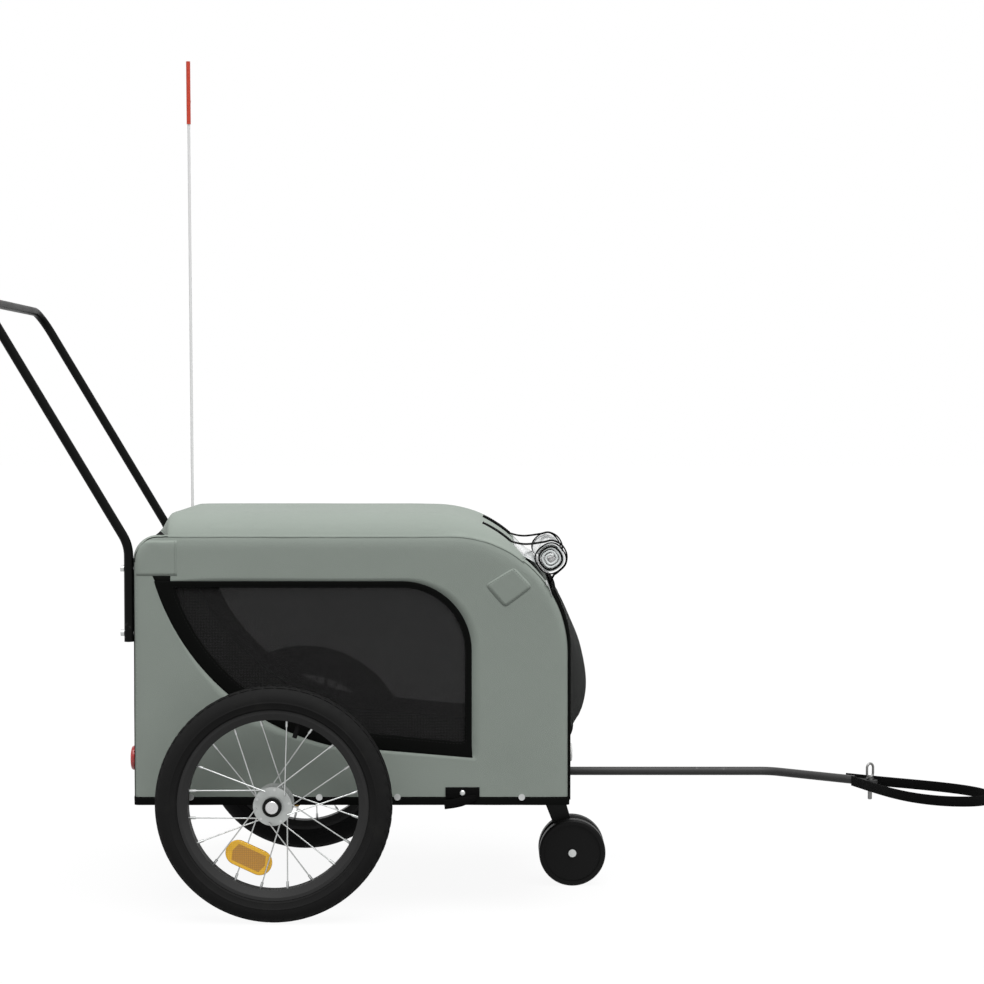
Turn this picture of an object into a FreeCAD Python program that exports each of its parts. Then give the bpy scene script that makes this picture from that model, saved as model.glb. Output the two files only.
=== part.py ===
import FreeCAD, Part
import math
import os

# Dog bike trailer with two spoked wheels, a front caster, a push handle and a tow bar.
# Millimetres, +X forward, +Y left, +Z up, floor at Z = 0.
# Lengths along X are written from the wheel axle; the whole model is moved to its own origin at the end.

# Main wheels
WHEEL_R = 199.0
WHEEL_CLEARANCE = 46.5
TYRE_SECTION_R = 23.5
TYRE_WALL = 3.4
BEAD_R = 157.0
RIM_FLANGE_R = 160.0
RIM_HALF_WIDTH = 17.0
RIM_WELL_R = 145.5
RIM_WALL = 2.4
TUBE_CLEARANCE = 0.3
VALVE_ANGLE = 72.6
VALVE_R = 4.0
VALVE_LENGTH = 40.0
SPOKE_COUNT = 20
SPOKE_R = 1.1
SPOKE_LEAN = 38.0
SPOKE_START = 9.0
NIPPLE_R = 2.2
NIPPLE_LENGTH = 12.0
SPOKE_FIT = 0.12
SPOKE_RISE = 1.4
HUB_HALF = 24.0
HUB_CORE_R = 18.0
FLANGE_R = 32.5
FLANGE_THICKNESS = 3.0
FLANGE_Y = 20.0
SPOKE_CIRCLE_R = 28.0
BEARING_R = 14.0
BEARING_WIDTH = 8.0
AXLE_R = 6.0
RUNNING_FIT = 0.05
CAP_R = 16.0
CAP_THICKNESS = 9.0
BUTTON_R = 11.0
BUTTON_PROUD = 3.0
BUTTON_TRAVEL = 3.0
BUTTON_DEPTH = 2.5
REFLECTOR_LENGTH = 82.0
REFLECTOR_HEIGHT = 42.0
REFLECTOR_THICKNESS = 7.6
REFLECTOR_R = 99.0
REFLECTOR_ANGLE = 245.0

# Base frame of square tube
RAIL = 25.0
RAIL_WALL = 1.5
HALF_WIDTH = 250.0
CLOTH = 2.7
SOFT_GAP = 0.3
HOOP_REAR_X = -233.0
HOOP_FRONT_X = 484.5
FLOOR_THICKNESS = 6.0
SLEEVE_R = 10.0
SLEEVE_INSIDE = 60.0
SCREW_X = (-148.0, 71.0, 204.0, 416.0)
SCREW_HEAD_R = 5.5
SCREW_HEAD = 3.0
SCREW_R = 2.5

# Hoops, bows and cloth
TUBE_R = 8.0
TUBE_WALL = 1.5
HOOP_TOP_Z = 634.0
HOOP_REAR_BEND = 30.0
HOOP_FRONT_BEND = 188.5
PANEL_MARGIN = 3.5
BOW_R = 5.0
BOW_X = (-185.0, 200.0)
BAR_ANGLE = 50.0
ROOF_TOP_Z = 682.0
ROOF_REAR_R = 60.0
ROOF_FRONT_R = 230.0
ROOF_FRONT_INSET = 4.0
ROOF_SHOULDER_R = 37.0
ROOF_EDGE_ANGLE = 51.0
PANEL_HEM_Z = 188.0
WINDOW_TOP_Z = 567.0
WINDOW_BOTTOM_Z = 268.0
WINDOW_FRONT_X = 330.0
WINDOW_REAR_X = -207.0
WINDOW_CORNER_R = 118.0
WINDOW_TURN_X = 96.0
WINDOW_TURN_RISE = 20.0
WINDOW_SWEEP_X = -87.0
WINDOW_SWEEP_Z = 380.0
WINDOW_LAP = 8.0
MESH = 1.0

# Doors
DOOR = 3.0
FRONT_DOOR_MARGIN = 54.0
REAR_DOOR_MARGIN = 70.0
DOOR_BOTTOM_Z = 302.0
FRONT_DOOR_TOP_Z = 545.0
REAR_DOOR_TOP_Z = 560.0
DOOR_LAP = 11.0
DOOR_GAP = 0.6
FRONT_BULGE = 37.0
REAR_BULGE = 25.0
# Shares of the door's height, and of its bulge there
FRONT_SWELL = ((0.0, 0.16), (0.1, 0.68), (0.28, 1.0), (0.5, 0.92), (0.62, 0.81), (0.76, 0.73), (0.89, 0.7), (1.0, 0.65))
REAR_SWELL = ((0.0, 0.24), (0.12, 0.72), (0.3, 1.0), (0.58, 0.92), (0.85, 0.52), (1.0, 0.24))

# Push handle
HANDLE_OUTSET = 3.0
HANDLE_X = -253.0
HANDLE_FOOT_Z = 464.0
HANDLE_BEND_Z = 629.0
HANDLE_TOP_X = -500.0
HANDLE_TOP_Z = 1044.0
HANDLE_LOWER_BEND = 70.0
HANDLE_UPPER_BEND = 45.0
HANDLE_BOLT_Z = (479.0, 589.0)
BOLT_R = 3.0
BOLT_HEAD_R = 5.5
BOLT_HEAD = 6.0

# Front caster
CASTER_TRAIL = 30.0
CASTER_R = 60.0
CASTER_WIDTH = 26.0
CASTER_ARM = 18.0
CASTER_GAP = 0.5
CASTER_EDGE_R = 5.0
CASTER_SOCKET_R = 9.0
CASTER_SOCKET_DROP = 14.0
STEM_R = 6.0
COLLAR_R = 10.7
COLLAR_HEIGHT = 24.0
CASTER_BOLT_R = 4.0
CASTER_BOLT_HEAD_R = 7.0

# Tow bar
BAR_INSET = 50.0
BAR_Z = 171.0
BAR_TAIL = 12.0
BAR_BEND_X = 895.0
BAR_BEND = 60.0
BAR_END_X = 1040.0
BAR_END_Y = 97.0
TONGUE_LENGTH = 45.0
TONGUE_WIDTH = 22.0
TONGUE_THICKNESS = 6.0
PIN_FROM_END = 31.0
PIN_R = 4.0
PIN_BELOW = 30.0
PIN_CHAMFER = 1.0
PIN_GROOVE_R = 3.3
PIN_GROOVE = 2.2
PIN_COLLAR_R = 7.0
PIN_COLLAR = 3.0
RING_WIDTH = 20.0
RING_HEIGHT = 30.0
RING_WIRE_R = 2.25
RING_TURN = 35.0
BRACKET_HALF = 16.0
BRACKET_PLATE = 4.0

# Safety strap: how far it laps the bar's end, and the points of its free loop in plan, at the bar's height
STRAP_WIDTH = 18.0
STRAP_THICKNESS = 2.5
STRAP_LAP = 24.0
STRAP_LEAVE = 15.0
STRAP_LOOP = ((1098.0, 73.0), (1141.0, 47.0), (1185.0, 18.0), (1225.0, -17.0), (1251.0, -59.0), (1252.0, -104.0),
              (1222.0, -133.0), (1180.0, -137.0), (1140.0, -121.0), (1107.0, -89.0), (1082.0, -46.0),
              (1063.0, 0.0), (1047.0, 45.0))

# Small parts on the cabin
ROLL_R = 30.0
ROLL_TURNS = 4
ROLL_FILM = 2.2
ROLL_MARGIN = 85.0
ROLL_ANGLE = 42.0
ROLL_STRAP_INSET = 120.0
ROLL_STRAP_WIDTH = 20.0
ROLL_STRAP = 1.4
ROLL_STRAP_ROOT_ANGLE = 72.0
ROLL_STRAP_LEAVE_ANGLE = 66.0
ROLL_STRAP_END_ANGLE = 32.5
ROLL_STRAP_EASE = 40.0
FRONT_REFLECTOR_R = 16.5
FRONT_REFLECTOR_INSET = 80.0
FRONT_REFLECTOR_Z = 264.0
REAR_REFLECTOR_R = 21.0
REAR_REFLECTOR_INSET = 35.0
REAR_REFLECTOR_Z = 261.0
LENS_THICKNESS = 9.0
STOW_X = 315.0
STOW_LENGTH = 58.0
STOW_PLATE = 2.5
STOW_TOP_Z = 216.0
FLAG_X = -209.0
FLAG_LEAN = 0.3
POLE_R = 2.7
POLE_FOOT_Z = 432.0
POLE_TOP_Z = 1523.0
FLAG_SLEEVE_TOP_Z = 560.0
FLAG_SLEEVE_WALL = 1.8
FLAG_TAB_HALF = 11.0
FLAG_TAB_INSET = 30.0
POLE_FIT = 0.3
PENNANT_HOIST = 119.0
PENNANT_FLY = 100.0
PENNANT_THICKNESS = 1.6

# Worked out from the sizes above
AXLE_Z = WHEEL_R
RAIL_TOP = AXLE_Z + RAIL / 2
RAIL_BOTTOM = AXLE_Z - RAIL / 2
CLOTH_IN = HALF_WIDTH - CLOTH
RAIL_Y = CLOTH_IN - SOFT_GAP - RAIL / 2
HOOP_Y = CLOTH_IN - SOFT_GAP - TUBE_R
TRACK = 2 * (HALF_WIDTH + WHEEL_CLEARANCE + TYRE_SECTION_R)
FRONT_DOOR_HALF = HALF_WIDTH - FRONT_DOOR_MARGIN
REAR_DOOR_HALF = HALF_WIDTH - REAR_DOOR_MARGIN
FRONT_REFLECTOR_Y = HALF_WIDTH - FRONT_REFLECTOR_INSET
REAR_REFLECTOR_Y = HALF_WIDTH - REAR_REFLECTOR_INSET
BAR_Y = HALF_WIDTH - BAR_INSET
ROLL_LENGTH = 2 * (HALF_WIDTH - ROLL_MARGIN)
ROLL_STRAP_Y = HALF_WIDTH - ROLL_STRAP_INSET
HANDLE_HALF = HOOP_Y + HANDLE_OUTSET
BOLT_Y = (HOOP_Y + HANDLE_HALF) / 2
PANEL_REAR_X = HOOP_REAR_X - TUBE_R - PANEL_MARGIN
PANEL_FRONT_X = HOOP_FRONT_X + TUBE_R + PANEL_MARGIN
PANEL_TOP_Z = HOOP_TOP_Z + TUBE_R + PANEL_MARGIN
PANEL_REAR_R = HOOP_REAR_BEND + TUBE_R + PANEL_MARGIN
PANEL_FRONT_R = HOOP_FRONT_BEND + TUBE_R + PANEL_MARGIN
ARC_X = HOOP_FRONT_X - HOOP_FRONT_BEND
ARC_Z = HOOP_TOP_Z - HOOP_FRONT_BEND
FRONT_TUBE_X = PANEL_FRONT_X - CLOTH - 2 * SOFT_GAP - RAIL / 2
REAR_TUBE_X = PANEL_REAR_X + CLOTH + SOFT_GAP + RAIL / 2
CASTER_X = FRONT_TUBE_X
PIVOT_X = FRONT_TUBE_X
RAIL_REAR = REAR_TUBE_X - RAIL / 2
RAIL_FRONT = FRONT_TUBE_X + RAIL / 2
RAIL_INNER_Y = RAIL_Y - RAIL / 2
FLOOR_TOP = RAIL_TOP + FLOOR_THICKNESS
CASTER_AXLE_X = CASTER_X + CASTER_TRAIL
COLLAR_TOP = RAIL_BOTTOM - CASTER_SOCKET_DROP - CASTER_GAP
BAR_ANGLE_END = math.atan2(BAR_END_Y - BAR_Y, BAR_END_X - BAR_BEND_X)
BAR_DIR = FreeCAD.Vector(math.cos(BAR_ANGLE_END), math.sin(BAR_ANGLE_END), 0)
TONGUE_TIP_X = BAR_END_X + BAR_DIR.x * TONGUE_LENGTH - BAR_DIR.y * TONGUE_WIDTH / 2
ORIGIN_X = (HANDLE_TOP_X - TUBE_R + TONGUE_TIP_X) / 2
FAR = 2000.0

nodes = {}


def vec(x, y, z):
    """A point or direction."""
    return FreeCAD.Vector(x, y, z)


def box(x0, x1, y0, y1, z0, z1):
    """A block between two corners."""
    return Part.makeBox(x1 - x0, y1 - y0, z1 - z0, vec(x0, y0, z0))


def rod(start, end, radius):
    """A round bar between two points."""
    along = end - start
    return Part.makeCylinder(radius, along.Length, start, along)


def mirrored(shape):
    """The same piece on the other side of the trailer."""
    return shape.mirror(vec(0, 0, 0), vec(0, 1, 0))


def both_sides(name, right):
    """Keep a right-hand piece and its left-hand twin as two nodes."""
    nodes[name + "_right"] = right
    nodes[name + "_left"] = mirrored(right)


def polygon(points):
    """A flat face inside a closed outline of straight edges."""
    return Part.Face(Part.makePolygon(list(points) + [points[0]]))


def rounded_path(points, radii):
    """Straight runs joined by tangent arcs, one radius for each inner point."""
    edges = []
    last = points[0]
    for corner, ahead, radius in zip(points[1:-1], points[2:], radii):
        back = (last - corner).normalize()
        forth = (ahead - corner).normalize()
        half = back.getAngle(forth) / 2
        reach = radius / math.tan(half)
        start = corner + back * reach
        end = corner + forth * reach
        inward = (back + forth).normalize()
        middle = corner + inward * (radius / math.sin(half) - radius)
        if (start - last).Length > 1e-6:
            edges.append(Part.makeLine(last, start))
        edges.append(Part.Arc(start, middle, end).toShape())
        last = end
    edges.append(Part.makeLine(last, points[-1]))
    return Part.Wire(edges)


def sweep(path, radius):
    """A round solid along a path."""
    start = path.Edges[0].firstVertex().Point
    along = path.Edges[0].tangentAt(path.Edges[0].FirstParameter)
    ring = Part.Wire(Part.makeCircle(radius, start, along))
    return path.makePipeShell([ring], True, False)


def bent_tube(points, radii, radius, wall):
    """A hollow bent tube."""
    path = rounded_path(points, radii)
    return sweep(path, radius).cut(sweep(path, radius - wall))


def square_tube(x0, x1, y0, y1, along):
    """A hollow square tube at rail height, open at both ends along X or Y."""
    outer = box(x0, x1, y0, y1, RAIL_BOTTOM, RAIL_TOP)
    grow_x = FAR if along == "x" else -RAIL_WALL
    grow_y = FAR if along == "y" else -RAIL_WALL
    inner = box(x0 - grow_x, x1 + grow_x, y0 - grow_y, y1 + grow_y, RAIL_BOTTOM + RAIL_WALL, RAIL_TOP - RAIL_WALL)
    return outer.cut(inner)


def ring_about_axle(profile):
    """A solid turned about the wheel's axis, from (radius, offset along the axis) points."""
    face = polygon([vec(r, y, 0) for r, y in profile])
    return face.revolve(vec(0, 0, 0), vec(0, 1, 0), 360)


def polar(radius, degrees, y):
    """A point on the wheel, by radius and by angle from +X towards +Z."""
    turn = math.radians(degrees)
    return vec(radius * math.cos(turn), y, radius * math.sin(turn))


def arc_point(radius, degrees, y=0.0):
    """A point by radius and angle about the centre of the hoops' front bend."""
    return vec(ARC_X, 0, ARC_Z) + polar(radius, degrees, y)


def side_outline(inset, bottom):
    """The cabin's outline seen from the side, drawn in by an inset."""
    rear = PANEL_REAR_X + inset
    front = PANEL_FRONT_X - inset
    top = PANEL_TOP_Z - inset
    corners = [vec(rear, 0, bottom), vec(rear, 0, top), vec(front, 0, top), vec(front, 0, bottom)]
    wire = rounded_path(corners, (PANEL_REAR_R - inset, PANEL_FRONT_R - inset))
    return Part.Face(Part.Wire(wire.Edges + [Part.makeLine(corners[-1], corners[0])]))


def across(face, y0, y1):
    """A flat face in the XZ plane made into a solid between two Y values."""
    moved = face.copy()
    moved.translate(vec(0, y0, 0))
    return moved.extrude(vec(0, y1 - y0, 0))


def front_wedge(degrees, above):
    """Everything on one side of a ray from the centre of the front bend."""
    tip = arc_point(FAR, degrees)
    pivot = arc_point(0, 0)
    if above:
        points = [pivot, tip, vec(-FAR, 0, tip.z), vec(-FAR, 0, pivot.z)]
    else:
        points = [pivot, tip, vec(FAR, 0, tip.z), vec(FAR, 0, -FAR), vec(pivot.x, 0, -FAR)]
    return across(polygon(points), -FAR, FAR)


# Main wheels, made about their own axis with the outside towards -Y
def make_tyre():
    """A hollow casing, open towards the rim."""
    middle_r = WHEEL_R - TYRE_SECTION_R
    outer = Part.makeTorus(middle_r, TYRE_SECTION_R, vec(0, 0, 0), vec(0, 1, 0))
    inner = Part.makeTorus(middle_r, TYRE_SECTION_R - TYRE_WALL, vec(0, 0, 0), vec(0, 1, 0))
    core = Part.makeCylinder(BEAD_R, 2 * TYRE_SECTION_R, vec(0, -TYRE_SECTION_R, 0), vec(0, 1, 0))
    bead_half = RIM_HALF_WIDTH - RIM_WALL - SOFT_GAP
    flange_r = RIM_FLANGE_R + SOFT_GAP
    flanges = Part.makeCylinder(flange_r, 2 * TYRE_SECTION_R, vec(0, -TYRE_SECTION_R, 0), vec(0, 1, 0))
    flanges = flanges.cut(Part.makeCylinder(flange_r, 2 * bead_half, vec(0, -bead_half, 0), vec(0, 1, 0)))
    return outer.cut(inner).cut(core).cut(flanges)


def make_inner_tube():
    """The air tube, flattened on the rim, with its valve towards the hub."""
    middle_r = WHEEL_R - TYRE_SECTION_R
    section_r = TYRE_SECTION_R - TYRE_WALL - TUBE_CLEARANCE
    ring = Part.makeTorus(middle_r, section_r, vec(0, 0, 0), vec(0, 1, 0))
    core = Part.makeCylinder(BEAD_R, 2 * TYRE_SECTION_R, vec(0, -TYRE_SECTION_R, 0), vec(0, 1, 0))
    base = polar(BEAD_R + section_r / 2, VALVE_ANGLE, 0)
    tip = polar(BEAD_R - VALVE_LENGTH, VALVE_ANGLE, 0)
    return ring.cut(core).fuse(rod(base, tip, VALVE_R)).removeSplitter()


def spoke_offset(side, lead):
    """How far a spoke's elbow stands from the middle of its flange; outer spokes rise to clear its edge."""
    return FLANGE_THICKNESS / 2 + SPOKE_R + SPOKE_FIT + (SPOKE_RISE if side == lead else 0.0)


def spoke_ends():
    """Hub end and rim end of every spoke, with the flange side it lies on."""
    ends = []
    for index in range(SPOKE_COUNT):
        side = 1 if index % 2 else -1
        lead = 1 if (index // 2) % 2 else -1
        rim_angle = SPOKE_START + index * 360.0 / SPOKE_COUNT
        hub_y = side * FLANGE_Y + lead * spoke_offset(side, lead)
        hub = polar(SPOKE_CIRCLE_R, rim_angle + lead * SPOKE_LEAN, hub_y)
        rim = polar(RIM_WELL_R - RIM_WALL / 2, rim_angle, side * 2.0)
        ends.append((hub, rim, side, lead))
    return ends


def make_spokes():
    """Crossed spokes, each with its elbow and head at the flange and its nipple in the rim."""
    solids = []
    for hub, rim, side, lead in spoke_ends():
        along = (rim - hub).normalize()
        through = vec(0, -lead, 0)
        head = hub + through * (spoke_offset(side, lead) + FLANGE_THICKNESS / 2 + SPOKE_R + SPOKE_FIT)
        wire = rod(hub, rim, SPOKE_R).fuse(Part.makeSphere(SPOKE_R, hub))
        elbow = rod(hub, head, SPOKE_R).fuse(rod(head - through * SPOKE_R, head, 2 * SPOKE_R))
        nipple = rod(rim - along * NIPPLE_LENGTH, rim, NIPPLE_R)
        solids.append(wire.fuse([elbow, nipple]).removeSplitter())
    return Part.makeCompound(solids)


def make_rim():
    """A single-wall rim with a bead seat, a well, and holes for nipples and valve."""
    half = RIM_HALF_WIDTH
    seat = BEAD_R - SOFT_GAP
    well_half = half - 9.0
    inner = RIM_WELL_R - RIM_WALL
    profile = [(RIM_FLANGE_R, -half), (RIM_FLANGE_R, -half + RIM_WALL), (seat, -half + RIM_WALL),
               (seat, -well_half), (RIM_WELL_R, -well_half + 3.0), (RIM_WELL_R, well_half - 3.0),
               (seat, well_half), (seat, half - RIM_WALL), (RIM_FLANGE_R, half - RIM_WALL), (RIM_FLANGE_R, half),
               (seat - RIM_WALL, half), (inner, half - 6.0), (inner, 6.0 - half), (seat - RIM_WALL, -half)]
    ring = ring_about_axle(profile)
    holes = []
    for hub, rim, side, lead in spoke_ends():
        along = (rim - hub).normalize()
        holes.append(rod(rim - along * NIPPLE_LENGTH, rim + along * NIPPLE_LENGTH, NIPPLE_R + SPOKE_FIT))
    holes.append(rod(polar(BEAD_R, VALVE_ANGLE, 0), polar(BEAD_R - VALVE_LENGTH, VALVE_ANGLE, 0), VALVE_R + SPOKE_FIT))
    return ring.cut(Part.makeCompound(holes))


def make_hub():
    """A hub shell with two drilled flanges and a bearing pocket at each end."""
    body = Part.makeCylinder(HUB_CORE_R, 2 * HUB_HALF, vec(0, -HUB_HALF, 0), vec(0, 1, 0))
    pocket_y = HUB_HALF - BEARING_WIDTH
    cuts = [Part.makeCylinder(AXLE_R + 2.0, 2 * HUB_HALF, vec(0, -HUB_HALF, 0), vec(0, 1, 0))]
    for side in (-1, 1):
        flange_y = side * FLANGE_Y - FLANGE_THICKNESS / 2
        disc = Part.makeCylinder(FLANGE_R, FLANGE_THICKNESS, vec(0, flange_y, 0), vec(0, 1, 0))
        body = body.fuse(disc)
        cuts.append(Part.makeCylinder(BEARING_R, BEARING_WIDTH, vec(0, side * pocket_y, 0), vec(0, side, 0)))
    for hub, rim, side, lead in spoke_ends():
        reach = vec(0, FLANGE_THICKNESS * 2, 0)
        cuts.append(rod(hub - reach, hub + reach, SPOKE_R + SPOKE_FIT))
    return body.cut(Part.makeCompound(cuts))


def make_bearings():
    """Two bearings, seated in the hub's pockets and running on the axle."""
    rings = []
    for side in (-1, 1):
        foot = vec(0, side * (HUB_HALF - BEARING_WIDTH), 0)
        outer = Part.makeCylinder(BEARING_R, BEARING_WIDTH, foot, vec(0, side, 0))
        rings.append(outer.cut(Part.makeCylinder(AXLE_R + RUNNING_FIT, BEARING_WIDTH, foot, vec(0, side, 0))))
    return Part.makeCompound(rings)


def make_wheel_reflector():
    """A long oval reflector held between the two planes of spokes."""
    half = REFLECTOR_THICKNESS / 2
    run = (REFLECTOR_LENGTH - REFLECTOR_HEIGHT) / 2
    end_r = REFLECTOR_HEIGHT / 2
    oval = box(-end_r, end_r, -half, half, -run, run)
    for z in (-run, run):
        oval = oval.fuse(Part.makeCylinder(end_r, 2 * half, vec(0, -half, z), vec(0, 1, 0)))
    oval = oval.removeSplitter()
    faces = [e for e in oval.Edges if abs(abs(e.CenterOfMass.y) - half) < 1e-6]
    oval = oval.makeFillet(half * 0.4, faces)
    oval.translate(vec(REFLECTOR_R, 0, 0))
    oval.rotate(vec(0, 0, 0), vec(0, 1, 0), -REFLECTOR_ANGLE)
    return oval


def make_axle():
    """A quick-release axle with a round cap that holds the button."""
    cap_in = -HUB_HALF - SOFT_GAP
    cap_out = cap_in - CAP_THICKNESS
    end = TRACK / 2 - (RAIL_INNER_Y - SLEEVE_INSIDE) + AXLE_R
    pin = rod(vec(0, cap_in, 0), vec(0, end, 0), AXLE_R)
    cap = rod(vec(0, cap_out, 0), vec(0, cap_in, 0), CAP_R)
    well = rod(vec(0, cap_out, 0), vec(0, cap_out + BUTTON_DEPTH + BUTTON_TRAVEL + SOFT_GAP, 0), BUTTON_R + RUNNING_FIT)
    tip = [e for e in pin.Edges if abs(e.CenterOfMass.y - end) < 1e-6 and len(e.Vertexes) == 1]
    pin = pin.makeChamfer(AXLE_R * 0.3, tip)
    return pin.fuse(cap).cut(well)


def make_button():
    """A domed push button."""
    top = -HUB_HALF - SOFT_GAP - CAP_THICKNESS - BUTTON_PROUD
    bottom = -HUB_HALF - SOFT_GAP - CAP_THICKNESS + BUTTON_DEPTH
    body = rod(vec(0, top, 0), vec(0, bottom, 0), BUTTON_R)
    rim = [e for e in body.Edges if abs(e.CenterOfMass.y - top) < 1e-6 and len(e.Vertexes) == 1]
    return body.makeFillet(BUTTON_PROUD * 0.8, rim)


def make_wheels():
    """Both wheels with their axles and buttons."""
    makers = {"tyre": make_tyre, "inner_tube": make_inner_tube, "rim": make_rim, "spokes": make_spokes,
              "hub": make_hub, "bearings": make_bearings, "wheel_reflector": make_wheel_reflector,
              "axle": make_axle, "release_button": make_button}
    for name, maker in makers.items():
        piece = maker()
        piece.translate(vec(0, -TRACK / 2, AXLE_Z))
        both_sides(name, piece)


# Base frame
def make_base():
    """Rails, cross tubes, axle sleeves, floor and screws."""
    outer_y = RAIL_Y + RAIL / 2
    rail = square_tube(RAIL_REAR, RAIL_FRONT, -outer_y, -RAIL_INNER_Y, "x")
    sleeve_end = TRACK / 2 - HUB_HALF - SOFT_GAP
    sleeve_in = RAIL_INNER_Y - SLEEVE_INSIDE
    sleeve_hole = rod(vec(0, -FAR, AXLE_Z), vec(0, -RAIL_INNER_Y + 1, AXLE_Z), SLEEVE_R)
    screw_holes = []
    screws = []
    for x in SCREW_X:
        head_y = -HALF_WIDTH - SCREW_HEAD
        screw = rod(vec(x, head_y, AXLE_Z), vec(x, -HALF_WIDTH, AXLE_Z), SCREW_HEAD_R)
        shank = rod(vec(x, -HALF_WIDTH, AXLE_Z), vec(x, -outer_y + RAIL_WALL + 6, AXLE_Z), SCREW_R)
        screws += [screw.fuse(shank), mirrored(screw.fuse(shank))]
        screw_holes.append(rod(vec(x, head_y, AXLE_Z), vec(x, -RAIL_Y, AXLE_Z), SCREW_R))
    both_sides("base_rail", rail.cut(Part.makeCompound(screw_holes + [sleeve_hole])))
    sleeve = rod(vec(0, -sleeve_end, AXLE_Z), vec(0, -sleeve_in, AXLE_Z), SLEEVE_R)
    bore = rod(vec(0, -FAR, AXLE_Z), vec(0, 0, AXLE_Z), AXLE_R + RUNNING_FIT)
    both_sides("axle_sleeve", sleeve.cut(bore))
    nodes["base_screws"] = Part.makeCompound(screws)
    for name, x in (("front_cross_tube", FRONT_TUBE_X), ("rear_cross_tube", REAR_TUBE_X), ("axle_cross_tube", 0.0)):
        nodes[name] = square_tube(x - RAIL / 2, x + RAIL / 2, -RAIL_INNER_Y, RAIL_INNER_Y, "y")
    socket_hole = rod(vec(CASTER_X, 0, 0), vec(CASTER_X, 0, RAIL_TOP), CASTER_SOCKET_R)
    nodes["front_cross_tube"] = nodes["front_cross_tube"].cut(socket_hole)
    floor_half = HOOP_Y - TUBE_R - 2.5
    floor = box(HOOP_REAR_X + TUBE_R + 2, HOOP_FRONT_X - TUBE_R - 2, -floor_half, floor_half, RAIL_TOP, FLOOR_TOP)
    corners = [e for e in floor.Edges if abs(e.tangentAt(0).z) > 0.9]
    nodes["floor_board"] = floor.makeFillet(15.0, corners)


# Hoops, bows and cloth
def bow(x):
    """A roof bow: a thin tube arched between the two hoops."""
    rise = ROOF_TOP_Z - CLOTH - SOFT_GAP - BOW_R
    foot = HOOP_Y
    bend = rise - HOOP_TOP_Z
    points = [vec(x, -foot, HOOP_TOP_Z), vec(x, -foot + bend * 1.6, rise), vec(x, foot - bend * 1.6, rise),
              vec(x, foot, HOOP_TOP_Z)]
    return bent_tube(points, (bend, bend), BOW_R, TUBE_WALL)


def make_frame():
    """Side hoops and the bars between them."""
    corners = [vec(HOOP_REAR_X, -HOOP_Y, RAIL_TOP), vec(HOOP_REAR_X, -HOOP_Y, HOOP_TOP_Z),
               vec(HOOP_FRONT_X, -HOOP_Y, HOOP_TOP_Z), vec(HOOP_FRONT_X, -HOOP_Y, RAIL_TOP)]
    radii = (HOOP_REAR_BEND, HOOP_FRONT_BEND)
    solid_hoop = sweep(rounded_path(corners, radii), TUBE_R)
    hoop = bent_tube(corners, radii, TUBE_R, TUBE_WALL)
    both_sides("side_hoop", hoop.cut(Part.makeCompound(handle_bolt_holes())))
    hoops = solid_hoop.fuse(mirrored(solid_hoop))
    nodes["roof_bows"] = Part.makeCompound([bow(x).cut(hoops) for x in BOW_X])
    end = arc_point(HOOP_FRONT_BEND, BAR_ANGLE)
    bar = bent_tube([end + vec(0, -HOOP_Y, 0), end, end + vec(0, HOOP_Y, 0)], (), TUBE_R, TUBE_WALL)
    nodes["door_bar"] = bar.cut(hoops)


def window_outline(lap):
    """The window's outline, grown by a lap: a sail shape with a swept rear lower edge."""
    top = WINDOW_TOP_Z + lap
    front = WINDOW_FRONT_X + lap
    bottom = WINDOW_BOTTOM_Z - lap
    corner = WINDOW_CORNER_R + lap
    start = vec(WINDOW_REAR_X - lap, 0, top)
    ease = corner * (1 - math.sqrt(0.5))
    edges = [Part.makeLine(start, vec(front - corner, 0, top)),
             Part.Arc(vec(front - corner, 0, top), vec(front - ease, 0, top - ease),
                      vec(front, 0, top - corner)).toShape(),
             Part.makeLine(vec(front, 0, top - corner), vec(front, 0, bottom))]
    turn = vec(WINDOW_TURN_X, 0, bottom + WINDOW_TURN_RISE)
    edges.append(Part.makeLine(vec(front, 0, bottom), turn))
    sweep_out = lap * math.sqrt(0.5)
    middle = vec(WINDOW_SWEEP_X - sweep_out, 0, WINDOW_SWEEP_Z - sweep_out)
    edges.append(Part.Arc(turn, middle, start).toShape())
    return Part.Face(Part.Wire(edges))


def make_panels():
    """Side panels with their windows, roof, front panel and rear panel."""
    panel = across(side_outline(0, PANEL_HEM_Z), -HALF_WIDTH, -CLOTH_IN)
    cuts = [across(window_outline(0), -FAR, 0), rod(vec(0, -FAR, AXLE_Z), vec(0, 0, AXLE_Z), SLEEVE_R + SOFT_GAP)]
    cuts += [rod(vec(x, -FAR, AXLE_Z), vec(x, 0, AXLE_Z), SCREW_R + SOFT_GAP) for x in SCREW_X]
    both_sides("side_panel", panel.cut(Part.makeCompound(cuts)))
    mesh_out = CLOTH_IN - SOFT_GAP
    both_sides("window_mesh", across(window_outline(WINDOW_LAP), -mesh_out, -mesh_out + MESH))
    nodes["roof_panel"] = make_roof()
    nodes["front_panel"] = make_front_panel()
    nodes["rear_panel"] = make_rear_panel()


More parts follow.
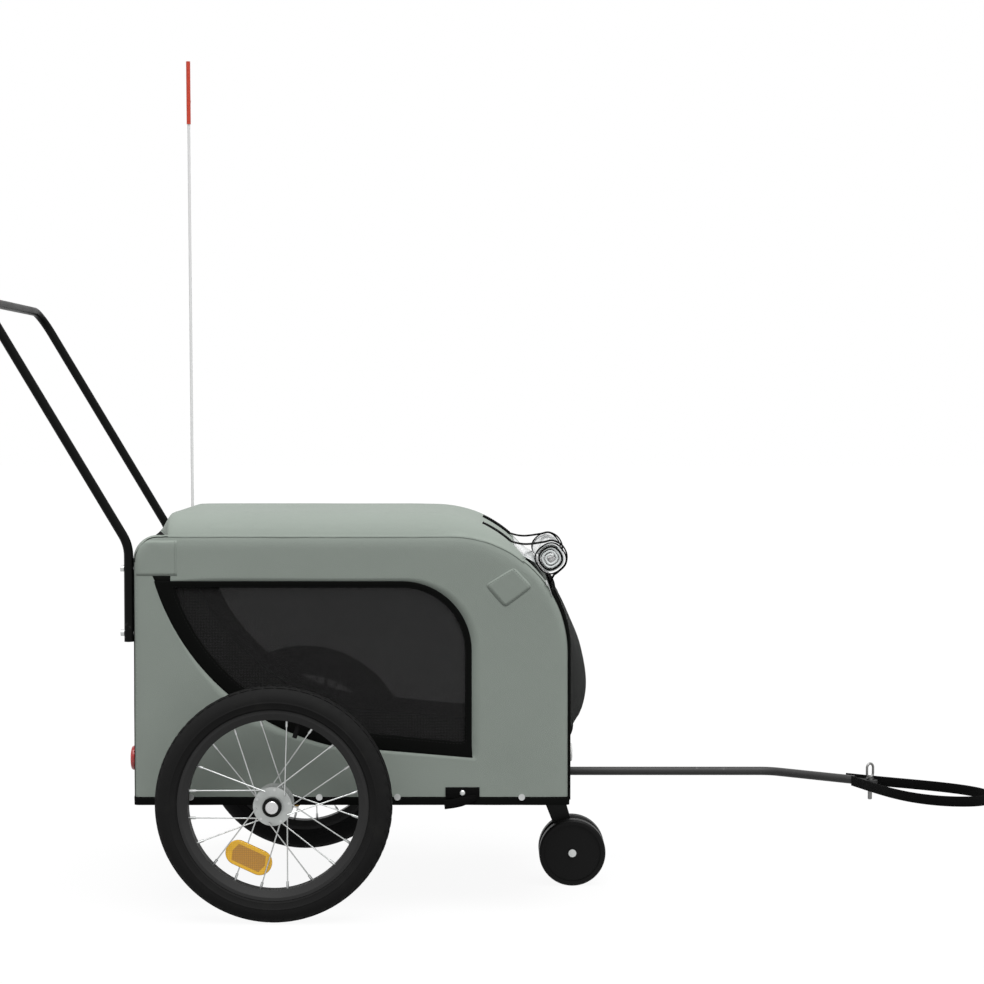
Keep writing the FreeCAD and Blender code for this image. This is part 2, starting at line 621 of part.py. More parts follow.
def loaf(inset):
    """The cabin's upper body as one rounded block, drawn in by an inset."""
    rear = PANEL_REAR_X + inset
    front = PANEL_FRONT_X - ROOF_FRONT_INSET - inset
    top = ROOF_TOP_Z - inset
    corners = [vec(rear, 0, RAIL_TOP), vec(rear, 0, top), vec(front, 0, top), vec(front, 0, RAIL_TOP)]
    wire = rounded_path(corners, (ROOF_REAR_R - inset, ROOF_FRONT_R - inset))
    face = Part.Face(Part.Wire(wire.Edges + [Part.makeLine(corners[-1], corners[0])]))
    half = HALF_WIDTH - inset
    block = across(face, -half, half)
    edges = [e for e in block.Edges
             if abs(abs(e.CenterOfMass.y) - half) < 1e-6 and e.BoundBox.ZMax > RAIL_TOP + 1]
    return block.makeFillet(ROOF_SHOULDER_R - inset, edges)


def make_roof():
    """A crowned cloth roof with rounded shoulders, from the rear corner to above the front door."""
    shell = loaf(0).cut(loaf(CLOTH))
    inside = across(side_outline(-SOFT_GAP, 0), -FAR, FAR)
    rear_cut = box(-FAR, ARC_X, -FAR, FAR, -FAR, PANEL_TOP_Z - PANEL_REAR_R + 4.0)
    return shell.cut(inside).cut(front_wedge(ROOF_EDGE_ANGLE, False)).cut(rear_cut)


def make_front_panel():
    """The cloth front with the opening that the front door covers."""
    half = CLOTH_IN - SOFT_GAP
    sheet = across(side_outline(SOFT_GAP, PANEL_HEM_Z), -half, half)
    sheet = sheet.cut(across(side_outline(SOFT_GAP + CLOTH, 0), -FAR, FAR))
    sheet = sheet.common(front_wedge(ROOF_EDGE_ANGLE + 2, False))
    opening = box(ARC_X, FAR, -FRONT_DOOR_HALF + DOOR_LAP, FRONT_DOOR_HALF - DOOR_LAP,
                  DOOR_BOTTOM_Z + DOOR_LAP, FRONT_DOOR_TOP_Z - DOOR_LAP)
    return sheet.cut(opening)


def make_rear_panel():
    """The cloth back with the opening that the rear door covers."""
    half = CLOTH_IN - SOFT_GAP
    top = PANEL_TOP_Z - PANEL_REAR_R + 3.5
    sheet = box(PANEL_REAR_X, PANEL_REAR_X + CLOTH, -half, half, PANEL_HEM_Z, top)
    opening = box(-FAR, 0, -REAR_DOOR_HALF + DOOR_LAP, REAR_DOOR_HALF - DOOR_LAP,
                  DOOR_BOTTOM_Z + DOOR_LAP, REAR_DOOR_TOP_Z - DOOR_LAP)
    return sheet.cut(opening).cut(Part.makeCompound(handle_bolt_holes()))


# Doors
def door_section(edge_x, bulge, half, z, sign):
    """A closed level section of a bowed door: two arcs and two short ends."""
    outer = [vec(edge_x + sign * DOOR, -half, z), vec(edge_x + sign * (DOOR + bulge), 0, z),
             vec(edge_x + sign * DOOR, half, z)]
    inner = [vec(edge_x, half, z), vec(edge_x + sign * bulge, 0, z), vec(edge_x, -half, z)]
    return Part.Wire([Part.Arc(*outer).toShape(), Part.makeLine(outer[2], inner[0]),
                      Part.Arc(*inner).toShape(), Part.makeLine(inner[2], outer[0])])


def make_doors():
    """Front and rear mesh doors, bowed outwards."""
    front_sections = []
    for share, swell in FRONT_SWELL:
        z = DOOR_BOTTOM_Z + share * (FRONT_DOOR_TOP_Z - DOOR_BOTTOM_Z)
        rise = max(0.0, z - ARC_Z)
        edge_x = ARC_X + math.sqrt((PANEL_FRONT_R - SOFT_GAP) ** 2 - rise ** 2) + DOOR_GAP
        front_sections.append(door_section(edge_x, swell * FRONT_BULGE, FRONT_DOOR_HALF, z, 1))
    nodes["front_door"] = Part.makeLoft(front_sections, True, False)
    rear_sections = []
    for share, swell in REAR_SWELL:
        z = DOOR_BOTTOM_Z + share * (REAR_DOOR_TOP_Z - DOOR_BOTTOM_Z)
        edge_x = PANEL_REAR_X - DOOR_GAP
        rear_sections.append(door_section(edge_x, swell * REAR_BULGE, REAR_DOOR_HALF, z, -1))
    nodes["rear_door"] = Part.makeLoft(rear_sections, True, False)


# Push handle
def handle_bolt_holes():
    """Clear holes for the handle's bolts, through the legs and the hoops' rear posts."""
    holes = []
    for z in HANDLE_BOLT_Z:
        for y in (-BOLT_Y, BOLT_Y):
            holes.append(rod(vec(HANDLE_X - 2 * TUBE_R, y, z), vec(HOOP_REAR_X + 2 * TUBE_R, y, z), BOLT_R))
    return holes


def make_handle():
    """The bent push handle and its bolts."""
    side = [vec(HANDLE_X, 0, HANDLE_FOOT_Z), vec(HANDLE_X, 0, HANDLE_BEND_Z), vec(HANDLE_TOP_X, 0, HANDLE_TOP_Z)]
    right = [p + vec(0, -HANDLE_HALF, 0) for p in side]
    left = [p + vec(0, HANDLE_HALF, 0) for p in reversed(side)]
    radii = (HANDLE_LOWER_BEND, HANDLE_UPPER_BEND, HANDLE_UPPER_BEND, HANDLE_LOWER_BEND)
    tube = bent_tube(right + left, radii, TUBE_R, TUBE_WALL)
    nodes["push_handle"] = tube.cut(Part.makeCompound(handle_bolt_holes()))
    bolts = []
    head_x = HANDLE_X - TUBE_R
    for z in HANDLE_BOLT_Z:
        for y in (-BOLT_Y, BOLT_Y):
            shank = rod(vec(head_x, y, z), vec(HOOP_REAR_X + TUBE_R, y, z), BOLT_R)
            bolts.append(shank.fuse(rod(vec(head_x - BOLT_HEAD, y, z), vec(head_x, y, z), BOLT_HEAD_R)))
    nodes["handle_bolts"] = Part.makeCompound(bolts)


# Front caster
def tapered_arm(top, top_r, foot, foot_r, half):
    """A flat arm whose outline is two circles joined by their outer tangents."""
    along = foot - top
    lean = math.acos((top_r - foot_r) / along.Length)
    heading = math.atan2(along.z, along.x)
    corners = []
    for centre, radius in ((top, top_r), (foot, foot_r)):
        for side in (1, -1):
            turn = heading + side * lean
            corners.append(centre + vec(math.cos(turn), 0, math.sin(turn)) * radius)
    web = polygon([corners[0], corners[1], corners[3], corners[2]])
    arm = across(web, -half, half)
    for centre, radius in ((top, top_r), (foot, foot_r)):
        arm = arm.fuse(rod(centre + vec(0, -half, 0), centre + vec(0, half, 0), radius))
    return arm.removeSplitter()


def make_caster():
    """Swivelling fork with a wheel on each side of its arm."""
    axle = vec(CASTER_AXLE_X, 0, CASTER_R)
    half = CASTER_ARM / 2
    inner_y = half + CASTER_GAP
    outer_y = inner_y + CASTER_WIDTH
    crown = vec(CASTER_X, 0, COLLAR_TOP - COLLAR_HEIGHT)
    arm = tapered_arm(crown, CASTER_ARM, axle, CASTER_ARM * 0.75, half)
    collar = rod(crown, vec(CASTER_X, 0, COLLAR_TOP), COLLAR_R)
    stem = rod(crown, vec(CASTER_X, 0, RAIL_TOP), STEM_R)
    bolt_hole = rod(axle + vec(0, -half, 0), axle + vec(0, half, 0), CASTER_BOLT_R)
    nodes["caster_fork"] = arm.fuse([collar, stem]).removeSplitter().cut(bolt_hole)
    socket = rod(vec(CASTER_X, 0, COLLAR_TOP + CASTER_GAP), vec(CASTER_X, 0, RAIL_TOP), CASTER_SOCKET_R)
    bore = rod(vec(CASTER_X, 0, 0), vec(CASTER_X, 0, RAIL_TOP), STEM_R + RUNNING_FIT)
    nodes["caster_socket"] = socket.cut(bore)
    bolt = rod(axle + vec(0, -outer_y, 0), axle + vec(0, outer_y, 0), CASTER_BOLT_R)
    for side in (-1, 1):
        seat = axle + vec(0, side * (outer_y - 3.0 + CASTER_GAP), 0)
        head = rod(seat, seat + vec(0, side * 4.0, 0), CASTER_BOLT_HEAD_R)
        bolt = bolt.fuse(head)
    nodes["caster_bolt"] = bolt.removeSplitter()
    disc = rod(vec(0, -outer_y, 0), vec(0, -inner_y, 0), CASTER_R)
    disc = disc.makeFillet(CASTER_EDGE_R, [e for e in disc.Edges if len(e.Vertexes) == 1])
    dish = rod(vec(0, -outer_y, 0), vec(0, -outer_y + 3.0, 0), CASTER_R - 9.0)
    disc = disc.cut(dish).cut(rod(vec(0, -FAR, 0), vec(0, 0, 0), CASTER_BOLT_R + RUNNING_FIT))
    disc.translate(axle)
    both_sides("caster_wheel", disc)


# Tow bar
def make_tow_bar():
    """Bar with a flat tongue, its bracket and pivot, and the hitch pin."""
    tail = vec(PIVOT_X - BAR_TAIL, BAR_Y, BAR_Z)
    end = vec(BAR_END_X, BAR_END_Y, BAR_Z)
    tube = bent_tube([tail, vec(BAR_BEND_X, BAR_Y, BAR_Z), end], (BAR_BEND,), TUBE_R, TUBE_WALL)
    lap = 14.0
    half_w = TONGUE_WIDTH / 2
    half_t = TONGUE_THICKNESS / 2
    tongue = box(-lap, TONGUE_LENGTH, -half_w, half_w, -half_t, half_t)
    corners = [e for e in tongue.Edges if abs(e.tangentAt(0).z) > 0.9 and e.CenterOfMass.x > 0]
    tongue = tongue.makeFillet(half_w * 0.9, corners)
    tongue.rotate(vec(0, 0, 0), vec(0, 0, 1), math.degrees(BAR_ANGLE_END))
    tongue.translate(end)
    pin_at = end + BAR_DIR * PIN_FROM_END
    pivot = vec(PIVOT_X, BAR_Y, 0)
    holes = [rod(vec(pin_at.x, pin_at.y, 0), vec(pin_at.x, pin_at.y, FAR), PIN_R + RUNNING_FIT),
             rod(pivot, pivot + vec(0, 0, FAR), PIN_R + RUNNING_FIT)]
    nodes["tow_bar"] = tube.fuse(tongue).removeSplitter().cut(Part.makeCompound(holes))
    bar_low = BAR_Z - TUBE_R - SOFT_GAP
    bar_high = BAR_Z + TUBE_R + SOFT_GAP
    back = PIVOT_X - BRACKET_HALF - BRACKET_PLATE
    y0 = BAR_Y - BRACKET_HALF
    y1 = BAR_Y + BRACKET_HALF
    front = PIVOT_X + RAIL / 2
    bracket = box(back, front, y0, y1, bar_low - BRACKET_PLATE, RAIL_BOTTOM)
    bracket = bracket.cut(box(back + BRACKET_PLATE, FAR, -FAR, FAR, bar_low, bar_high))
    nodes["tow_bracket"] = bracket.cut(rod(pivot, pivot + vec(0, 0, FAR), PIN_R))
    head_top = bar_low - BRACKET_PLATE
    bolt = rod(pivot + vec(0, 0, head_top), pivot + vec(0, 0, RAIL_BOTTOM), PIN_R)
    nodes["pivot_bolt"] = bolt.fuse(rod(pivot + vec(0, 0, head_top - 5), pivot + vec(0, 0, head_top), PIN_COLLAR_R))
    collar_z = BAR_Z + half_t + SOFT_GAP
    at = vec(pin_at.x, pin_at.y, 0)
    under = BAR_Z - half_t
    pin = rod(at + vec(0, 0, under - PIN_BELOW), at + vec(0, 0, collar_z + PIN_COLLAR), PIN_R)
    tip = [e for e in pin.Edges if abs(e.CenterOfMass.z - under + PIN_BELOW) < 1e-6 and len(e.Vertexes) == 1]
    pin = pin.makeChamfer(PIN_CHAMFER, tip)
    groove = [rod(at + vec(0, 0, under - PIN_GROOVE), at + vec(0, 0, under), r) for r in (2 * PIN_R, PIN_GROOVE_R)]
    pin = pin.cut(groove[0].cut(groove[1]))
    collar = rod(at + vec(0, 0, collar_z), at + vec(0, 0, collar_z + PIN_COLLAR), PIN_COLLAR_R)
    ring = ring_loop()
    ring.translate(at + vec(0, 0, collar_z + PIN_COLLAR - RING_WIRE_R * 0.4))
    nodes["hitch_pin"] = pin.fuse([collar, ring]).removeSplitter()


def ring_loop():
    """An upright oval wire loop standing on the origin."""
    bend = RING_WIDTH / 2 - RING_WIRE_R
    low = RING_WIRE_R + bend
    high = RING_HEIGHT - RING_WIRE_R - bend
    edges = [Part.Arc(vec(-bend, 0, low), vec(0, 0, low - bend), vec(bend, 0, low)).toShape(),
             Part.makeLine(vec(bend, 0, low), vec(bend, 0, high)),
             Part.Arc(vec(bend, 0, high), vec(0, 0, high + bend), vec(-bend, 0, high)).toShape(),
             Part.makeLine(vec(-bend, 0, high), vec(-bend, 0, low))]
    loop = sweep(Part.Wire(edges), RING_WIRE_R)
    loop.rotate(vec(0, 0, 0), vec(0, 0, 1), RING_TURN)
    return loop


def strap_radii(points):
    """The largest arc that each corner's two runs allow."""
    radii = []
    for before, corner, after in zip(points, points[1:], points[2:]):
        shorter = min((corner - before).Length, (after - corner).Length)
        turn = (corner - before).getAngle(after - corner)
        radii.append(0.45 * shorter / math.tan(turn / 2))
    return radii


def make_safety_strap():
    """A loop of webbing on edge, from one side of the bar's end to the other."""
    end = vec(BAR_END_X, BAR_END_Y, BAR_Z)
    out = vec(-BAR_DIR.y, BAR_DIR.x, 0) * (TONGUE_WIDTH / 2 + SOFT_GAP + STRAP_THICKNESS / 2)
    loop = [vec(x, y, BAR_Z) for x, y in STRAP_LOOP]
    points = [end - BAR_DIR * STRAP_LAP + out, end + BAR_DIR * STRAP_LEAVE + out] + loop + [end - out]
    radii = strap_radii(points)
    print("strap route", [(round(p.x - ORIGIN_X, 1), round(p.y, 1)) for p in points])
    path = rounded_path(points, radii)
    start = points[0]
    along = (points[1] - start).normalize()
    side = vec(-along.y, along.x, 0) * (STRAP_THICKNESS / 2)
    up = vec(0, 0, STRAP_WIDTH / 2)
    section = Part.makePolygon([start + side + up, start - side + up, start - side - up, start + side - up,
                                start + side + up])
    strap = path.makePipeShell([section], True, False)
    nodes["safety_strap"] = strap
    print("strap length", round(path.Length, 1), "least radius", round(min(radii), 1))
    print("strap volume share", round(strap.Volume / (path.Length * STRAP_WIDTH * STRAP_THICKNESS), 4))


# Small parts on the cabin
def make_roll():
    """The rolled-up rain cover: a spiral of film made of half turns that meet."""
    centre = arc_point(PANEL_FRONT_R + ROLL_R + SOFT_GAP, ROLL_ANGLE)
    step = ROLL_R / (2 * ROLL_TURNS + 2)
    outer = []
    inner = []
    for half_turn in range(2 * ROLL_TURNS):
        radius = ROLL_R - half_turn * step
        under = half_turn % 2
        middle = centre + vec(step if under else 0.0, 0, 0)
        side = 1 if under else -1
        for edges, r in ((outer, radius), (inner, radius - ROLL_FILM)):
            edges.append(Part.Arc(middle + vec(side * r, 0, 0), middle + vec(0, 0, -side * r),
                                  middle + vec(-side * r, 0, 0)).toShape())
    first = Part.makeLine(inner[0].firstVertex().Point, outer[0].firstVertex().Point)
    last = Part.makeLine(outer[-1].lastVertex().Point, inner[-1].lastVertex().Point)
    wire = Part.Wire(Part.__sortEdges__(outer + [last] + inner + [first]))
    nodes["rain_cover_roll"] = across(Part.Face(wire), -ROLL_LENGTH / 2, ROLL_LENGTH / 2)
    make_roll_straps(centre)


def make_roll_straps(centre):
    """Two flat straps from the roof, over the roll and back to the front panel."""
    lift = SOFT_GAP + ROLL_STRAP / 2
    roof_centre = vec(PANEL_FRONT_X - ROOF_FRONT_INSET - ROOF_FRONT_R, 0, ROOF_TOP_Z - ROOF_FRONT_R)
    root = roof_centre + polar(ROOF_FRONT_R + lift, ROLL_STRAP_ROOT_ANGLE, 0)
    leave = roof_centre + polar(ROOF_FRONT_R + lift, ROLL_STRAP_LEAVE_ANGLE, 0)
    end = arc_point(PANEL_FRONT_R + lift, ROLL_STRAP_END_ANGLE)
    wrap_r = ROLL_R + lift
    touch = []
    for point, side in ((leave, -1), (end, 1)):
        out = point - centre
        angle = math.atan2(out.z, out.x) + side * math.acos(wrap_r / out.Length)
        touch.append(math.degrees(angle))
    quarter = (touch[0] - touch[1]) / 4
    corner_r = wrap_r / math.cos(math.radians(quarter))
    corners = [centre + polar(corner_r, touch[0] - quarter, 0), centre + polar(corner_r, touch[1] + quarter, 0)]
    path = rounded_path([root, leave] + corners + [end], (ROLL_STRAP_EASE, wrap_r, wrap_r))
    along = (leave - root).normalize()
    up = vec(-along.z, 0, along.x) * (ROLL_STRAP / 2)
    side = vec(0, ROLL_STRAP_WIDTH / 2, 0)
    section = Part.makePolygon([root + up + side, root + up - side, root - up - side, root - up + side,
                                root + up + side])
    strap = path.makePipeShell([section], True, False)
    pair = []
    for y in (-ROLL_STRAP_Y, ROLL_STRAP_Y):
        one = strap.copy()
        one.translate(vec(0, y, 0))
        pair.append(one)
    nodes["roll_straps"] = Part.makeCompound(pair)


def lens(foot, along, radius):
    """A round reflector with an eased front edge, standing on a cloth face."""
    body = Part.makeCylinder(radius, LENS_THICKNESS, foot, along)
    tip = foot + along * LENS_THICKNESS
    rim = [e for e in body.Edges if len(e.Vertexes) == 1 and abs((e.CenterOfMass - tip).dot(along)) < 1e-6]
    return body.makeFillet(LENS_THICKNESS * 0.45, rim)


def make_reflectors():
    """A pair of reflectors at the front and a pair at the rear."""
    front_x = PANEL_FRONT_X - SOFT_GAP
    sets = (("front_reflectors", front_x, 1, FRONT_REFLECTOR_Y, FRONT_REFLECTOR_Z, FRONT_REFLECTOR_R),
            ("rear_reflectors", PANEL_REAR_X, -1, REAR_REFLECTOR_Y, REAR_REFLECTOR_Z, REAR_REFLECTOR_R))
    for name, x, sign, y, z, radius in sets:
        right = lens(vec(x, -y, z), vec(sign, 0, 0), radius)
        nodes[name] = Part.makeCompound([right, mirrored(right)])


def make_stow_strap():
    """A plate on the right rail with a bolt and the loose end of a strap."""
    out = -HALF_WIDTH - STOW_PLATE
    half = STOW_LENGTH / 2
    low = STOW_TOP_Z - 19.0
    plate = box(STOW_X - half, STOW_X + half, out, -HALF_WIDTH, low, STOW_TOP_Z)
    plate = plate.makeFillet(5.0, [e for e in plate.Edges if abs(e.tangentAt(0).y) > 0.9])
    head_z = (low + STOW_TOP_Z) / 2
    head = rod(vec(STOW_X, out - 3.0, head_z), vec(STOW_X, out, head_z), BOLT_HEAD_R)
    x = STOW_X - half + 2.0
    mid_y = out - ROLL_STRAP / 2
    points = [vec(x, mid_y, head_z), vec(x, mid_y, low - 6.0), vec(x, mid_y - 6.0, low - 18.0),
              vec(x, mid_y - 16.0, low - 15.0)]
    path = rounded_path(points, (8.0, 7.0))
    side = vec(7.0, 0, 0)
    thick = vec(0, ROLL_STRAP / 2, 0)
    at = points[0] + side
    section = Part.makePolygon([at + side + thick, at - side + thick, at - side - thick, at + side - thick,
                                at + side + thick])
    tail = path.makePipeShell([section], True, False)
    nodes["stow_strap"] = plate.fuse([head, tail]).removeSplitter()


def make_flag():
    """Pole in its sleeve on the left panel, and the pennant."""
    lean = math.radians(FLAG_LEAN)
    along = vec(-math.sin(lean), 0, math.cos(lean))
    sleeve_r = POLE_R + POLE_FIT + FLAG_SLEEVE_WALL
    y = HALF_WIDTH + sleeve_r + 0.5
    foot = vec(FLAG_X, y, POLE_FOOT_Z)
    pole = rod(foot, foot + along * (POLE_TOP_Z - POLE_FOOT_Z), POLE_R)
    nodes["flag_pole"] = pole
    base = foot - along * 3.0
    sleeve = rod(base, foot + along * (FLAG_SLEEVE_TOP_Z - POLE_FOOT_Z), sleeve_r)
    for z in (POLE_FOOT_Z + FLAG_TAB_INSET, FLAG_SLEEVE_TOP_Z - FLAG_TAB_INSET):
        tab = box(FLAG_X - FLAG_TAB_HALF - sleeve_r, FLAG_X + FLAG_TAB_HALF, HALF_WIDTH, HALF_WIDTH + 2.0,
                  z - FLAG_TAB_HALF, z + FLAG_TAB_HALF)
        sleeve = sleeve.fuse(tab)
    bore = rod(foot - along * POLE_FIT, foot + along * FAR, POLE_R + POLE_FIT)
    nodes["flag_sleeve"] = sleeve.removeSplitter().cut(bore)
    top = foot + along * (POLE_TOP_Z - POLE_FOOT_Z)
    low = top - along * PENNANT_HOIST
    hem = rod(low, top, POLE_R + PENNANT_THICKNESS)
    fly = (top + low) * 0.5 + vec(0, PENNANT_FLY + POLE_R, 0)
    cloth = polygon([top, low, fly])
    cloth.translate(vec(-PENNANT_THICKNESS / 2, 0, 0))
    cloth = cloth.extrude(vec(PENNANT_THICKNESS, 0, 0))
    nodes["pennant"] = hem.fuse(cloth).removeSplitter().cut(rod(low - along, top + along, POLE_R))


def build():
    """Make every node, move it to the model's origin and write it."""
    make_wheels()
    make_base()
    make_frame()
    make_panels()
    make_doors()
    make_handle()
    make_caster()
    make_tow_bar()
    make_safety_strap()
    make_roll()
    make_reflectors()
    make_stow_strap()
    make_flag()
    os.makedirs("parts", exist_ok=True)
    for name, shape in nodes.items():
        moved = shape.copy()
        moved.translate(vec(-ORIGIN_X, 0, 0))
        moved.exportStep("parts/" + name + ".step")
    print(len(nodes), "nodes, axle at X", round(-ORIGIN_X, 3))


build()
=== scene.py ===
import logging
import math
from dataclasses import dataclass
from enum import Enum
from typing import Callable, Optional, Sequence, Union

import bmesh
import bpy
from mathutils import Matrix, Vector, noise


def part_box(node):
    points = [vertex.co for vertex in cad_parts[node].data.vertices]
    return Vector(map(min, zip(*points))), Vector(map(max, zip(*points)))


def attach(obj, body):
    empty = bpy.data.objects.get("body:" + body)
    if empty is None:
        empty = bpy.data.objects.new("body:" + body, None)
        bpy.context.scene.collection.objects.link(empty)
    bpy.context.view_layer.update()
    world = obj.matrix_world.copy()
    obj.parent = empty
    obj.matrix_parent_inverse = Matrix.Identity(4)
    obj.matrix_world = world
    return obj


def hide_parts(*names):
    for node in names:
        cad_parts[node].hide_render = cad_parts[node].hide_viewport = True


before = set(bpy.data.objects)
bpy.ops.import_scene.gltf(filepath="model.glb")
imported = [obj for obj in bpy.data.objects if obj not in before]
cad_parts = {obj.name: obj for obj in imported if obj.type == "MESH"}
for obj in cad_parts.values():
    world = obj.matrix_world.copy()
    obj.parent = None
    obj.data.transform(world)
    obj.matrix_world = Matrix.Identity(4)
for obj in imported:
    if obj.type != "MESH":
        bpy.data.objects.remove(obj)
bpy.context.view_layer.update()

LOG = logging.getLogger("trailer")
MM = 0.001
AXLE_X = sum(corner.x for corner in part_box("hub_right")) / 2
AHEAD = Vector((1.0, 0.0, 0.0))
ASIDE = Vector((0.0, 1.0, 0.0))
UPWARD = Vector((0.0, 0.0, 1.0))
NORMAL_COORDS = 1
REST_COORDS = 3
WELD = 0.00001
SLIVER = 0.000005
PARALLEL = 1e-9
SLACK = 1e-6
Term = Union["Value", float, tuple]
Pair = tuple[float, float]
Piece = bpy.types.Object


class Side(Enum):
    """Which side of the trailer a piece is on."""

    RIGHT = -1
    LEFT = 1

    @property
    def word(self) -> str:
        """The ending of this side's node names."""
        return self.name.lower()


class NetLay(Enum):
    """Which way a net's rows of holes run."""

    SQUARE = 1
    DIAMOND = 2


class Across(Enum):
    """The direction across a strap's width."""

    WIDTH_Y = 1
    WIDTH_Z = 2


# Shader nodes and finishes


def tone(red: float, green: float, blue: float) -> tuple[float, float, float]:
    """A colour as a screen shows it, from 0 to 255, as the linear one that shaders take."""
    shares = (part / 255 for part in (red, green, blue))
    return tuple(s / 12.92 if s < 0.0404 else ((s + 0.055) / 1.055) ** 2.4 for s in shares)


class Value:
    """A shader socket that takes part in ordinary arithmetic."""

    def __init__(self, nodes: "Nodes", socket: bpy.types.NodeSocket) -> None:
        """Keep the socket and the nodes that it is among."""
        self.nodes = nodes
        self.socket = socket

    def math(self, operation: str, *terms: Term) -> "Value":
        """The result of one Math node on these terms."""
        return self.nodes.node("ShaderNodeMath", {"operation": operation}, terms)

    def __add__(self, other: Term) -> "Value":
        """This value plus another."""
        return self.math("ADD", self, other)

    __radd__ = __add__

    def __sub__(self, other: Term) -> "Value":
        """This value less another."""
        return self.math("SUBTRACT", self, other)

    def __rsub__(self, other: Term) -> "Value":
        """A number less this value."""
        return self.math("SUBTRACT", other, self)

    def __mul__(self, other: Term) -> "Value":
        """This value times another."""
        return self.math("MULTIPLY", self, other)

    __rmul__ = __mul__

    def __abs__(self) -> "Value":
        """This value without its sign."""
        return self.math("ABSOLUTE", self)

    def sine(self) -> "Value":
        """The sine of this value."""
        return self.math("SINE", self)

    def between(self, low: float, high: float) -> "Value":
        """A smooth step from 0 at low to 1 at high."""
        settings = {"interpolation_type": "SMOOTHSTEP"}
        return self.nodes.node("ShaderNodeMapRange", settings, {0: self, 1: low, 2: high, 3: 0.0, 4: 1.0})


class Nodes:
    """The nodes of one tree, which starts empty."""

    def __init__(self, tree: bpy.types.NodeTree) -> None:
        """Empty the tree."""
        self.tree = tree
        self.tree.nodes.clear()

    def node(self, kind: str, settings: Optional[dict] = None, inputs: Union[dict, Sequence] = (),
             output: Union[int, str] = 0) -> Value:
        """Any node.

        Args:
            kind: the node's type.
            settings: its properties, set before its sockets.
            inputs: numbers or links, by socket name or in order.
            output: which of its outputs to give back.

        Returns:
            That output.
        """
        made = self.tree.nodes.new(kind)
        for key, setting in (settings or {}).items():
            setattr(made, key, setting)
        for key, term in inputs.items() if isinstance(inputs, dict) else enumerate(inputs):
            self.feed(made.inputs[key], term)
        return Value(self, made.outputs[output])

    def feed(self, socket: bpy.types.NodeSocket, term: Term) -> None:
        """Link a value to a socket, or set the socket to a constant.

        Args:
            socket: the socket.
            term: the value or the constant.
        """
        if isinstance(term, Value):
            self.tree.links.new(term.socket, socket)
        elif isinstance(term, tuple) and socket.type == "RGBA":
            socket.default_value = (*term, 1.0)
        else:
            socket.default_value = term

    def end(self, kind: str, shader: Value) -> None:
        """End the tree in an output node."""
        self.feed(self.tree.nodes.new(kind).inputs["Surface"], shader)

    def seen(self) -> Value:
        """One where a ray comes from the camera, a reflection or a clear surface.

        Returns:
            The value, otherwise zero.
        """
        rays = ("Is Camera Ray", "Is Glossy Ray", "Is Transmission Ray")
        camera, glossy, clear = (self.node("ShaderNodeLightPath", output=ray) for ray in rays)
        return camera.math("MAXIMUM", camera.math("MAXIMUM", camera, glossy), clear)

    def show(self, kind: str, light: Value, shown: Value) -> None:
        """End the tree in a shader that lights the trailer and another that is seen."""
        self.end(kind, self.node("ShaderNodeMixShader", inputs=[self.seen(), light, shown]))


